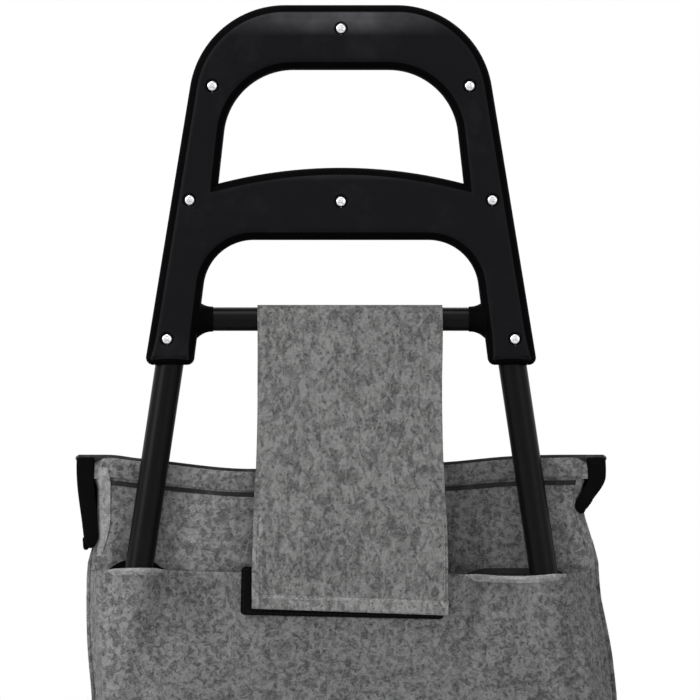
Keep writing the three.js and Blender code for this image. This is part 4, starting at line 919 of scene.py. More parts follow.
def turned(name, middle, half_profile, material, sides, sharp=32, ripple=None):
    """A piece turned about the axle: half its profile as (x from its middle, radius) in mm, and mirrored."""
    points = half_profile + [(-x, r) for x, r in reversed(half_profile)]
    return lathe(name, [(middle + x * MM, r * MM) for x, r in points], material, sides, sharp, ripple)


def spoke(turn, middle):
    """A spoke that is wider and thicker at both its ends, with a section between an oval and a box."""
    rings, hub, rim = [], 12.5, 59.5
    for t in np.linspace(0, 1, 15):
        r = (hub + (rim - hub) * t) * MM
        wide = (6.2 + 1.1 * math.cos(TAU * t) + 1.6 * t * t) * MM
        deep = (5.4 + 1.9 * math.cos(TAU * t)) * MM
        for u, v in circle(1, 20):
            across, along = (size * math.copysign(abs(w) ** 0.55, w) for size, w in ((wide, u), (deep, v)))
            rings.append((middle + along, PLANE_Y + r * math.cos(turn) - across * math.sin(turn),
                          AXLE_Z + r * math.sin(turn) + across * math.cos(turn)))
    return loft("spoke", np.reshape(rings, (15, 20, 3)), [(p[1], p[2]) for p in rings], WHEEL)


BORE = 5.3


def build_collar(side, tag, body, node, end_radius):
    """A nylon ring round the axle, with bevelled ends."""
    middle, half = width_of(node)
    full = end_radius + (0.6 if tag == "bush" else 0.5)
    profile = [(-half, BORE), (-half, end_radius), (0.5 - half, full)]
    stands(turned(f"fine_{side}_{tag}", middle, profile, NYLON, 56), body, node, slot="nylon")


def build_wheel(side, sign):
    middle, half = width_of(side + "_tyre")
    outer, bead = 79.65, 62.3

    def sipes(i, x, radius):
        return -0.9 * MM if i % 6 < 2 and radius > 77 * MM and abs(x - middle) > 5 * MM else 0

    # rounded walls, and three ribs with two grooves between them
    wall = [(1.5, bead), (0.4, bead + 2), (0, bead + 5), (0, outer - 7), (0.5, outer - 4.2),
            (1.9, outer - 1.9), (4.2, outer - 0.5)]
    ribs = [(-5.2, outer), (-4.9, outer - 0.3), (-4.6, outer - 1.5), (-3.0, outer - 1.5),
            (-2.7, outer - 0.3), (-2.4, outer)]
    profile = [(x - half, r) for x, r in wall] + ribs
    tyre = turned(f"fine_{side}_tyre", middle, profile, RUBBER, 288, 30, sipes)
    stands(tyre, side + "_wheel", side + "_tyre", slot="tyre_rubber")

    middle, half = width_of(side + "_wheel_rim")
    ring = [(-7, 57.4), (-10.2, 58.6), (-11, 60.4), (-11, 62.1), (-10.4, 62.6), (-9.4, 62.2)]
    hub = [(-half, 8.2), (-half, 12.6), (0.8 - half, 13.6), (-7, 14.4)]
    pieces = [turned("rim_ring", middle, ring, WHEEL, 160), turned("rim_hub", middle, hub, WHEEL, 72)]
    wheel = joined(f"fine_{side}_rim", pieces + [spoke(TAU * s / 6 + math.pi / 2, middle) for s in range(6)])
    stands(wheel, side + "_wheel", side + "_wheel_rim", slot="wheel_plastic")

    build_collar(side, "bush", side + "_wheel", side + "_wheel_bush", 7.4)
    middle, half = width_of(side + "_axle_cap")
    cap = [(-half, BORE), (-half, 8.6), (0.5 - half, 9), (half - 3.4, 9), (half - 1.6, 8.3)]
    cap += [(half - 0.5, 6.4), (half, 3.4), (half, 0.2), (half - 2.6, 0.2), (half - 2.6, BORE)]
    cap = lathe(f"fine_{side}_cap", [(middle + sign * x * MM, r * MM) for x, r in cap], BLACK, 56)
    stands(cap, "frame", side + "_axle_cap", slot="moulded_black")
    build_collar(side, "spacer", "frame", side + "_axle_spacer", 8)


def build_running_gear():
    for side, sign in (("right", 1), ("left", -1)):
        build_wheel(side, sign)
        for tag, material, width, body, slot in (("_axle_bracket", BLACK, 0.7, "frame", "moulded_black"),
                                                 ("_pivot_bolt", ZINC, 0.4, "frame", "zinc_steel"),
                                                 ("_hinge_ear", PAINT, 0.6, "platform", "painted_tube"),
                                                 ("_foot_pad", BLACK, 1.6, "platform", "moulded_black")):
            stands(refined(side + tag, material, width * MM), body, side + tag, slot=slot)


def build_platform():
    r = 5 * MM
    low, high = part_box("platform_frame")
    x, z, front = high.x - r, (low.z + high.z) / 2, high.y - r
    path = bent([(x, low.y, z, 0), (x, front, z, 32 * MM), (-x, front, z, 32 * MM), (-x, low.y, z, 0)], 3)
    tube("platform_frame", "platform", path, r, 32)
    for i in range(4):
        straight_tube(f"platform_wire_{i + 1}", "platform", 3 * MM, 24, 20)
    low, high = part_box("foot_loop")
    x, y, bar = high.x - r, (low.y + high.y) / 2, low.z + r
    path = bent([(x, y, high.z, 0), (x, y, bar, 24 * MM), (-x, y, bar, 24 * MM), (-x, y, high.z, 0)], 3)
    tube("foot_loop", "platform", path, r, 32)
    stands(refined("base_board", BOARD, 0.8 * MM), "platform", "base_board", slot="moulded_black")


# Bag

Z_KEYS = MM * np.array([96.9, 130, 165, 220, 300, 380, 450, 480, 507, 519, 533, 546, 560, 573, 587, 600,
                        613, 627, 638, 670])
RIGHT_KEYS = MM * np.array([165, 165.8, 167, 170, 175, 180, 186, 188, 187.5, 186, 184, 181.5, 178.5, 175.5,
                            173.6, 172.2, 170, 165.4, 163, 166])
LEFT_KEYS = MM * np.array([165, 165.8, 167, 169.5, 173, 172.5, 169.5, 168.5, 168.5, 169, 170, 171, 171.8,
                           172.2, 172, 170.5, 168, 166.5, 166.5, 166])
REAR_CORNER = 13 * MM
FRONT_CORNER = 30 * MM
BAG_DEPTH = 220 * MM
FRONT_SWELL = 6 * MM
SWOLLEN_DEPTH = 226 * MM
CROWN_HALF = 172 * MM
HEM_HEIGHT = 13.5 * MM
CLOTH_THICK = 1.6 * MM
PIPING = circle(1.7 * MM, 10)


def to_bag(piece, slot="grey_fabric", *nodes):
    """A piece of the bag's cloth, baked in place; the nodes it stands for are hidden."""
    if nodes:
        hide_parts(*nodes)
    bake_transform(piece)


def swell(z):
    return np.sin(math.pi * np.clip((z - BAG_LOW.z) / (RIM_Z - BAG_LOW.z), 0, 1)) ** 2


def front_crown(x, full):
    return 7 * MM * full * (1 - (x / CROWN_HALF) ** 2)


def rim_dip(x):
    """How far the rim's rear edge hangs below its corners."""
    x = np.asarray(x, float)
    left = 9.6 * MM * bell(x, -60 * MM, 66 * MM)
    right = 5.0 * MM * bell(x, 62 * MM, 42 * MM)
    return (left + right) * (1 - smooth(abs(x), 138 * MM, 160 * MM))


def lid_fall(x, y):
    """How far the rim and the lid hang below their rear corners, beside the loop and towards the front."""
    t = np.clip((y - HINGE_Y) / (LID_FRONT - HINGE_Y), 0, 1)
    return rim_dip(x) * (1 - 0.35 * t) + 6.5 * MM * t


def sides_at(z):
    """Left and right outline of the bag at a height."""
    return -np.interp(z, Z_KEYS, LEFT_KEYS), np.interp(z, Z_KEYS, RIGHT_KEYS)


def rear_face(x, z):
    """The bag's rear surface, which turns round its corners."""
    left, right = sides_at(z)
    over = np.maximum(np.maximum(x - (right - REAR_CORNER), (left + REAR_CORNER) - x), 0)
    over = np.minimum(over, REAR_CORNER * 0.995)
    return BAG_BACK_Y + REAR_CORNER - np.sqrt(REAR_CORNER ** 2 - over ** 2)


def bag_ring(z):
    """Points round the bag at a height, from the middle of the back over the right side and the front."""
    left, right = sides_at(z)
    back, front = BAG_BACK_Y, BAG_BACK_Y + BAG_DEPTH + FRONT_SWELL * swell(z)
    points = []

    def run(a, b, count):
        t = np.arange(count)[:, None] / count
        points.append(np.array(a) + np.subtract(b, a) * t)

    def arc(cx, cy, r, start, count):
        a = np.radians(start + 90 * np.arange(count) / count)
        points.append(np.stack([cx + r * np.cos(a), cy + r * np.sin(a)], 1))

    r, f = REAR_CORNER, FRONT_CORNER
    run((0, back), (right - r, back), 34)
    arc(right - r, back + r, r, -90, 8)
    run((right, back + r), (right, front - f), 38)
    arc(right - f, front - f, f, 0, 12)
    run((right - f, front), (left + f, front), 64)
    arc(left + f, front - f, f, 90, 12)
    run((left, front - f), (left, back + r), 38)
    arc(left + r, back + r, r, 180, 8)
    run((left + r, back), (0, back), 34)
    ring = np.concatenate(points)
    return np.column_stack([ring, np.full(len(ring), z)])


def bag_grid(levels):
    grid = np.array([bag_ring(z) for z in levels])
    x, y, z = (grid[..., k].copy() for k in range(3))
    full = swell(z)
    # the side panels belly out between the corners, and the front is crowned
    depth = np.clip((y - BAG_BACK_Y) / SWOLLEN_DEPTH, 0, 1)
    belly = np.sin(math.pi * depth) ** 0.8 * 5 * MM * full
    sides = smooth(abs(x), 120 * MM, 160 * MM)
    side_limit = 1 - smooth(z, 600 * MM, 640 * MM) * 0.7
    grid[..., 0] += np.sign(x) * sides * (belly - 3.5 * MM * full) * side_limit
    front = smooth(y, 120 * MM, 140 * MM)
    grid[..., 1] += front * front_crown(x, full)
    n = normals_of(grid, True)
    # wrinkles: broad soft waves, then creases that run out of the lower corners and below the rim
    calm = smooth(z, 100 * MM, 150 * MM) * (1 - smooth(z, 640 * MM, 668 * MM))
    heights = calm * 2.4 * MM * rough_field(grid, 13, 1, (1, 1, 0.75))
    heights += calm * 1.3 * MM * rough_field(grid, 34, 2, (1, 1, 0.6))
    rng = np.random.default_rng(7)
    back = smooth(-y, -(BAG_BACK_Y + 12 * MM), -(BAG_BACK_Y + 1 * MM))
    flank = smooth(abs(x), 150 * MM, 164 * MM) * (1 - back) * (1 - front)
    places = ((-60, 120), (180, 560))
    creases = seeded_creases(y, z, rng, 18, places, 0.9, (50, 130), (4, 9), (1.6, 3.2), 0.35)
    for k, crease in enumerate(creases):
        heights += crease * flank * (x * (1 if k % 2 else -1) > 0)
    places = ((-150, 110), (120, 600))
    for crease in seeded_creases(x, z, rng, 16, places, 0.7, (50, 150), (5, 11), (1.5, 3.0), 0.4):
        heights += crease * front
    heights *= 1 - back * 0.8
    # the back panel is slack under its hem: soft waves and upright creases beside the uprights
    slack = back * (1 - smooth(z, RIM_Z - 16 * MM, RIM_Z - 8 * MM)) * smooth(z, 560 * MM, 590 * MM)
    heights += slack * 1.3 * MM * rough_field(grid, 42, 3, (1, 0.2, 0.7))
    for x0, low, high, tall in ((-153, 560, 650, 1.5), (-146, 575, 640, -1.3), (-100, 590, 640, 1.1),
                                (-84, 570, 625, -1.0), (104, 575, 632, 1.2), (88, 590, 645, -1.1),
                                (147, 580, 640, 1.2)):
        heights += slack * fold(x, z, (x0 * MM, low * MM), ((x0 + 4) * MM, high * MM), 4.5 * MM, tall * MM)
    grid += n * heights[..., None]
    swelled = back * bell(x, -84 * MM, 30 * MM) * smooth(z, 585 * MM, 600 * MM)
    grid[..., 1] -= swelled * (1 - smooth(z, RIM_Z - 22 * MM, RIM_Z - 8 * MM)) * 4 * MM
    grid[..., 2] -= smooth(z, RIM_Z - 60 * MM, RIM_Z) * lid_fall(x, grid[..., 1])
    # nothing reaches into the uprights' plane
    grid[..., 1] = np.maximum(grid[..., 1], BAG_BACK_Y - 1.4 * MM - 4 * MM * swelled)
    return grid


def bag_shell(outer, inner, foot_rows):
    """The bag's cloth: its outer face from the floor up, and its lining, from above the foot's rows."""
    rows, cols = outer.shape[:2]
    base, top = rows * cols, (rows + len(inner) - 1) * cols
    verts = np.concatenate([outer.reshape(-1, 3), inner.reshape(-1, 3)])
    uv = lengths(outer)
    uvs = np.concatenate([uv.reshape(-1, 2), uv[foot_rows:].reshape(-1, 2)])
    cloth = [quad for i in range(rows - 1) for quad in band(i * cols, (i + 1) * cols, cols)]
    starts = range(base, top, cols)
    lining = [quad[::-1] for start in starts for quad in band(start, start + cols, cols)]
    rim = band(base - cols, top, cols)
    faces = cloth + lining + rim + [ring_at(0, cols)[::-1], ring_at(base, cols)]
    picked = [0] * len(cloth) + [1] * len(lining) + [0] * (len(rim) + 1) + [1]
    return mesh_piece("cloth_bag", verts, faces, CLOTH, uvs, 60, (LINING,), picked)


def build_bag():
    levels = BAG_LOW.z + np.array([0.6, 2.4, 6]) * MM
    levels = np.concatenate([levels, np.linspace(BAG_LOW.z + 12 * MM, RIM_Z, 112)])
    outer = bag_grid(levels)
    # the foot turns under and closes with a flat floor
    foot = []
    for pull, z in ((60, 0), (10, 0), (4, 0.15)):
        ring = outer[0].copy()
        ring[:, :2] += unit(np.array([0, BAG_BACK_Y + BAG_DEPTH / 2]) - ring[:, :2]) * pull * MM
        ring[:, 2] = BAG_LOW.z + z * MM
        foot.append(ring)
    foot_rows = len(foot)
    outer = np.concatenate([foot, outer])
    n = normals_of(outer, True)
    inner = outer[foot_rows:] - n[foot_rows:] * 1.9 * MM
    inner[:, :, 2] = np.maximum(inner[:, :, 2], BAG_LOW.z + 2 * MM)
    to_bag(bag_shell(outer, inner, foot_rows), "grey_fabric", "bag_body")

    def row_at(z):
        return int(np.argmin(abs(levels - z))) + foot_rows

    # a puffed hem round the rim, with a dark grey strip in the groove below it: a painted shadow
    section = strip_section(2.5, HEM_HEIGHT / MM, 1.6, 0.2, HEM_HEIGHT / MM - 1.2)
    to_bag(swept("rim_hem", outer[-1], section, CLOTH, closed=True, side=n[-1]))
    row = row_at(RIM_Z - HEM_HEIGHT)
    section = strip_section(1.0, 3.4, 0.9, -0.2, 2.4, 4)
    to_bag(swept("rim_painted_shadow", outer[row], section, PAINTED_SHADOW_GREY, closed=True, side=n[row]), "black_tape")
    # binding on the turn of each rear corner, above the sleeve; the left one is in the lighter hem cloth, a
    # painted highlight
    low_row, high_row = row_at(MOUTH_Z + 9 * MM), row_at(RIM_Z - 1.5 * MM)
    lift = 1.1 * MM + 2.6 * MM * smooth(levels, RIM_Z - HEM_HEIGHT - 5 * MM, RIM_Z - HEM_HEIGHT + 1 * MM)
    lift = lift[low_row - foot_rows:high_row - foot_rows, None, None]
    for tag, first, last, finish in (("right", 37, 40, CLOTH), ("left", 209, 214, CLOTH_HEM_HIGHLIGHT)):
        strip = outer[low_row:high_row, first:last] + n[low_row:high_row, first:last] * lift
        middle = strip.mean(1, keepdims=True)
        rows_in = np.minimum(np.arange(len(strip)), np.arange(len(strip))[::-1] + 2)
        strip = middle + (strip - middle) * np.clip(0.35 + rows_in / 6, 0, 1)[:, None, None]
        to_bag(cloth_panel(f"{tag}_corner_binding", strip, CLOTH_THICK, finish))
    # upright seams at the four corners, each a raised piping between two rows of stitches
    threads = Stitches()
    cols = outer.shape[1]
    for k, (x, y) in enumerate(((BAG_HIGH.x, 13 * MM), (BAG_LOW.x, 13 * MM), (140 * MM, 224 * MM),
                                (-140 * MM, 224 * MM))):
        j = int(np.argmin(abs(outer[40, :, 0] - x) + abs(outer[40, :, 1] - BAG_BACK_Y - y)))
        seam = outer[foot_rows:-10, j]
        taper = np.clip((len(seam) - np.arange(len(seam))) / 5, 0.1, 1)
        seam = seam + n[foot_rows:-10, j] * (0.8 * MM * taper - 1.2 * MM * (1 - taper))[:, None]
        to_bag(swept(f"corner_piping_{k + 1}", seam, PIPING, CLOTH, scale=taper))
        for shift in (-3, 3):
            beside = (j + shift) % cols
            threads.line(outer[4:-17, beside], n[4:-17, beside], 0.15 * MM)
    to_bag(swept("floor_piping", outer[4] + n[4] * 0.7 * MM, PIPING, CLOTH, closed=True))
    to_bag(threads.piece("bag_stitches"))


# Rear sleeve and front pocket

TUBE_COVER = TUBE_RADIUS + 2.6 * MM


def sleeve_sides(z):
    """Where the sleeve is sewn on: a little inside the bag's outline."""
    left, right = sides_at(z)
    return left + 3.4 * MM, right - 3.4 * MM - 3.1 * MM * smooth(z, 250 * MM, 400 * MM)


def mouth_depth(x, z):
    """The sleeve's outer face: over the uprights, behind the flap, and slack between them."""
    down = MOUTH_Z - z
    left, right = sleeve_sides(z)
    base = rear_face(x, z)
    near = base - 2.4 * MM
    place = tube_place(z)
    over = np.maximum(bell(x, place, 25 * MM), bell(x, -place, 25 * MM))
    middle = (1 - smooth(x, 74 * MM, 116 * MM)) * smooth(x, -92 * MM, -70 * MM)
    middle *= 0.99 - 0.15 * smooth(down, 45 * MM, 120 * MM)
    slack = 0.45 + 0.42 * smooth(down, 8 * MM, 70 * MM)
    share = np.maximum(np.maximum(slack, over), middle)
    share *= 1 - 0.98 * bell(x, -96 * MM, 19 * MM) ** 0.5 * (1 - smooth(down, 4 * MM, 70 * MM))
    share += (1 - share) * (1 - smooth(z, 212 * MM, 245 * MM))
    share *= smooth(x - left, 0, 5 * MM) * smooth(right - x, 0, 13 * MM)
    y = near + (SLEEVE_LOW.y - near) * share
    for side in (-1, 1):
        off = np.clip(abs(x - side * place) / TUBE_COVER, 0, 1)
        y = np.where(off < 1, np.minimum(y, PLANE_Y - TUBE_COVER * np.sqrt(1 - off ** 2)), y)
    return np.where((x - left < 0.2 * MM) | (right - x < 0.2 * MM), base - 0.6 * MM, y)


def build_sleeve():
    """The rear sleeve: its panel slides down over both uprights, and stands open above each of them."""
    rows, cols = 100, 190
    zs = np.linspace(SLEEVE_LOW.z + 1 * MM, MOUTH_Z, rows)
    t = np.linspace(-1, 1, cols)
    left, right = (side[:, None] for side in sleeve_sides(zs))
    x = left + (right - left) * (0.5 + 0.5 * np.sign(t) * abs(t) ** 0.93)
    z = np.broadcast_to(zs[:, None], x.shape)
    grid = np.stack([x, mouth_depth(x, z), z], 2)
    away = smooth(MOUTH_Z - z, 0, 30 * MM)
    flat_zone = 1 - (1 - smooth(abs(x), 72 * MM, 84 * MM)) * (1 - smooth(MOUTH_Z - z, 34 * MM, 60 * MM))
    waves = 1.9 * MM * rough_field(grid, 12, 5, (1, 0.2, 1.5))
    waves += 1.3 * MM * rough_field(grid, 31, 6, (0.8, 0.2, 1.4))
    rng = np.random.default_rng(11)
    places = ((-130, 90), (200, 575))
    creases = sum(seeded_creases(x, z, rng, 22, places, 0.6, (30, 90), (3.5, 7), (1.0, 2.0), 0.45))
    for x0, z0, x1, z1, wide, tall in ((-158, 566, -104, 508, 6, -2.2), (-128, 580, -80, 540, 6, -1.8),
                                       (-150, 540, -130, 480, 6, 1.8), (158, 560, 92, 524, 7, -2.2),
                                       (80, 560, 112, 500, 6, -1.8), (-150, 478, -40, 452, 8, 1.7),
                                       (-60, 548, 40, 536, 8, 1.8), (150, 520, 110, 450, 8, 1.8)):
        creases += fold(x, z, (x0 * MM, z0 * MM), (x1 * MM, z1 * MM), wide * MM, tall * MM)
    inside = smooth(x - left, 4 * MM, 22 * MM) * smooth(right - x, 4 * MM, 24 * MM)
    covered = grid[..., 1].copy()
    grid[..., 1] += (waves - 0.6 * MM + creases) * flat_zone * inside * (0.35 + 0.65 * away)
    place = tube_place(z)
    on_tube = np.maximum(bell(x, place, 11 * MM), bell(x, -place, 11 * MM)) > 0.3
    grid[..., 1] = np.where(on_tube, np.minimum(grid[..., 1], covered), grid[..., 1])
    grid[..., 1] = np.clip(grid[..., 1], SLEEVE_LOW.y - 0.6 * MM, rear_face(x, z) - 0.5 * MM)
    # the mouth's edge droops where it stands open on the right
    sag = 3.6 * MM * bell(x, 116 * MM, 34 * MM) - 2.2 * MM * bell(x, -138 * MM, 26 * MM)
    grid[..., 2] = z - sag * smooth(z, MOUTH_Z - 60 * MM, MOUTH_Z)
    to_bag(cloth_panel("cloth_sleeve", grid, CLOTH_THICK, CLOTH), "grey_fabric", "rear_sleeve")
    n = normals_of(grid)
    n *= np.sign(-n[rows // 2, cols // 2, 1])
    threads = Stitches()
    section = strip_section(2.2, 5.2, 1.6, -0.5, 4.2)
    for tag, low, high, tall, painted_shadow_finish in (("left", -161 * MM, -118 * MM, 9.5 * MM, TAPE),
                                              ("right", 84 * MM, 152 * MM, 4.4 * MM, PAINTED_SHADOW_GREY)):
        lip = (grid[-1, :, 0] > low) & (grid[-1, :, 0] < high)
        edge, side = grid[-1][lip], n[-1][lip]
        from_end = np.minimum(np.arange(len(edge)), np.arange(len(edge))[::-1])
        thinned = np.clip(from_end / 4, 0.25, 1)
        # the mouth hems are in the lighter hem cloth: a painted highlight
        to_bag(swept(f"{tag}_mouth_hem", edge, section, CLOTH_HEM_HIGHLIGHT, side=side, scale=thinned))
        threads.line(edge + np.array([0, 0, -1.6 * MM]), side, 1.5 * MM, 4.4 * MM, 3.4 * MM, 0.5 * MM)
        # a dark strip on the back panel behind the opening: a painted shadow
        shadow_x, share = np.meshgrid(np.linspace(low, high - 2 * MM, 40), np.linspace(0, 1, 6))
        taper = smooth(shadow_x, low, low + 16 * MM) * (1 - 0.8 * smooth(shadow_x, high - 12 * MM, high - 2 * MM))
        shadow_z = MOUTH_Z - 2 * MM + tall * share * np.sqrt(taper)
        tape = np.stack([shadow_x, rear_face(shadow_x, shadow_z) - 1.9 * MM, shadow_z], 2)
        to_bag(cloth_panel(f"{tag}_mouth_painted_shadow", tape, 1.4 * MM, painted_shadow_finish), "black_tape")
    for j in (2, cols - 3):
        threads.line(grid[:-6, j], n[:-6, j], 0.15 * MM)
    to_bag(threads.piece("sleeve_stitches"))


def build_pocket():
    """A patch pocket on the front: its panel stands off the bag, and its mouth is bound in tape."""
    rows, cols = 58, 88
    half = POCKET_HIGH.x
    zs = np.linspace(POCKET_LOW.z, POCKET_HIGH.z - 1 * MM, rows)
    x, z = np.meshgrid(np.linspace(half, -half, cols), zs)
    full = swell(z)
    face = BAG_BACK_Y + BAG_DEPTH + FRONT_SWELL * full + front_crown(x, full)
    lift = np.clip(1 - (abs(x) / half) ** 8, 0, 1) * smooth(z, POCKET_LOW.z, POCKET_LOW.z + 10 * MM) ** 0.6
    depth = (9.5 + 3.5 * smooth(z, POCKET_LOW.z, POCKET_HIGH.z)) * MM
    grid = np.stack([x, face + 1.2 * MM + depth * lift, z], 2)
    inside = (1 - smooth(abs(x), half - 20 * MM, half)) * smooth(z, POCKET_LOW.z, POCKET_LOW.z + 25 * MM)
    waves = 1.3 * MM * rough_field(grid, 17, 8) + 0.6 * MM * rough_field(grid, 40, 9)
    grid[..., 1] += waves * inside
    grid[..., 2] -= 2.2 * MM * bell(x, 0, 70 * MM) * smooth(z, POCKET_HIGH.z - 70 * MM, POCKET_HIGH.z)
    panel = cloth_panel("cloth_pocket", grid, CLOTH_THICK, CLOTH, LINING)
    to_bag(panel, "grey_fabric", "front_pocket")
    n = normals_of(grid)
    n *= np.sign(n[rows // 2, cols // 2, 1])
    section = strip_section(1.7, 12, 0.8, -0.8, 10.2)
    to_bag(swept("pocket_binding", grid[-1], section, TAPE, side=n[-1]), "black_tape")
    border, border_n = (np.concatenate([v[::-1, 2], v[2, 2:-2], v[:, -3]]) for v in (grid, n))
    border_n[:, 1] = np.maximum(border_n[:, 1], 0.3)
    threads, dark = Stitches(), Stitches()
    threads.line(border, border_n, 0.2 * MM)
    to_bag(threads.piece("pocket_stitches"))
    row = int(np.argmin(abs(zs - (POCKET_HIGH.z - 9 * MM))))
    dark.line(grid[row, 3:-3], n[row, 3:-3], 1.1 * MM)
    to_bag(dark.piece("pocket_binding_stitches", THREAD_DARK), "black_tape")


# Lid

LID_HALF = 178 * MM
LID_CORNER = 32 * MM
LID_TOP = LID_HIGH.z - 2.4 * MM
LID_THICK = 1.8 * MM


def lid_top_height(x, y):
    """The top panel's upper face: it sags beside the loop, and what is in the bag lifts its middle."""
    t = np.clip((y - HINGE_Y) / (LID_FRONT - HINGE_Y), 0, 1)
    bow = np.sin(math.pi * t)
    middle = 1 - smooth(abs(x - 7 * MM), 30 * MM, 76 * MM)
    sag = 3.6 * MM * bow * np.clip(1 - (x / LID_HALF) ** 2, 0, 1) * (1 - middle)
    return LID_TOP - 0.6 * MM - lid_fall(x, y) - sag + 7.5 * MM * bow ** 0.7 * middle


def lid_top():
    """The top panel, with a round seam along its rear edge, dark grey as painted shade."""
    cols, rows = 121, 72
    s = np.linspace(-1, 1, cols)
    xs = LID_HALF * np.sign(s) * (1 - (1 - abs(s)) ** 1.12)
    over = np.clip(abs(xs) - (LID_HALF - LID_CORNER), 0, LID_CORNER)
    front_y = LID_FRONT - (LID_CORNER - np.sqrt(LID_CORNER ** 2 - over ** 2))
    x, y = np.broadcast_to(xs, (rows, cols)), np.linspace(HINGE_Y, front_y, rows)
    grid = np.stack([x, y, lid_top_height(x, y)], 2)
    inside = (1 - smooth(abs(x), LID_HALF - 25 * MM, LID_HALF)) * smooth(y, HINGE_Y, HINGE_Y + 25 * MM)
    inside *= 1 - smooth(y, LID_FRONT - 25 * MM, LID_FRONT)
    waves = 1.5 * MM * rough_field(grid, 15, 12) + 0.9 * MM * rough_field(grid, 38, 13)
    grid[..., 2] += inside * (waves - 1.4 * MM)
    panel = cloth_panel("cloth_lid_top", grid, LID_THICK, CLOTH, LINING)
    # the seam is in the dark grey: painted shade along the lid's rear edge
    seam = grid[0] + np.array([0, -0.3 * MM, -0.8 * MM])
    stands(swept("lid_rear_seam_painted_shade", seam, circle(2.2 * MM, 12), PAINTED_SHADOW_GREY), "lid", slot="black_tape")
    return panel


def lid_hinge_strip():
    """A strip inside the rear edge joins the rim to the lid."""
    reach = np.array([-0.9, -0.8, -0.6, -0.3, 0.3, 1.2, 2.6, 4.6, 7, 10, 13, 16]) * MM
    drop = np.array([15, 12, 9, 7, 5.2, 4.1, 3.5, 3.3, 3.3, 3.4, 3.5, 3.6]) * MM
    x = np.linspace(-LID_HALF + 10 * MM, LID_HALF - 10 * MM, 90)[:, None]
    strip = np.stack(np.broadcast_arrays(x, HINGE_Y + reach, lid_top_height(x, HINGE_Y) - drop), 2)
    hinge = cloth_panel("lid_hinge_strip", strip, 1.0 * MM, CLOTH)
    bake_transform(hinge)


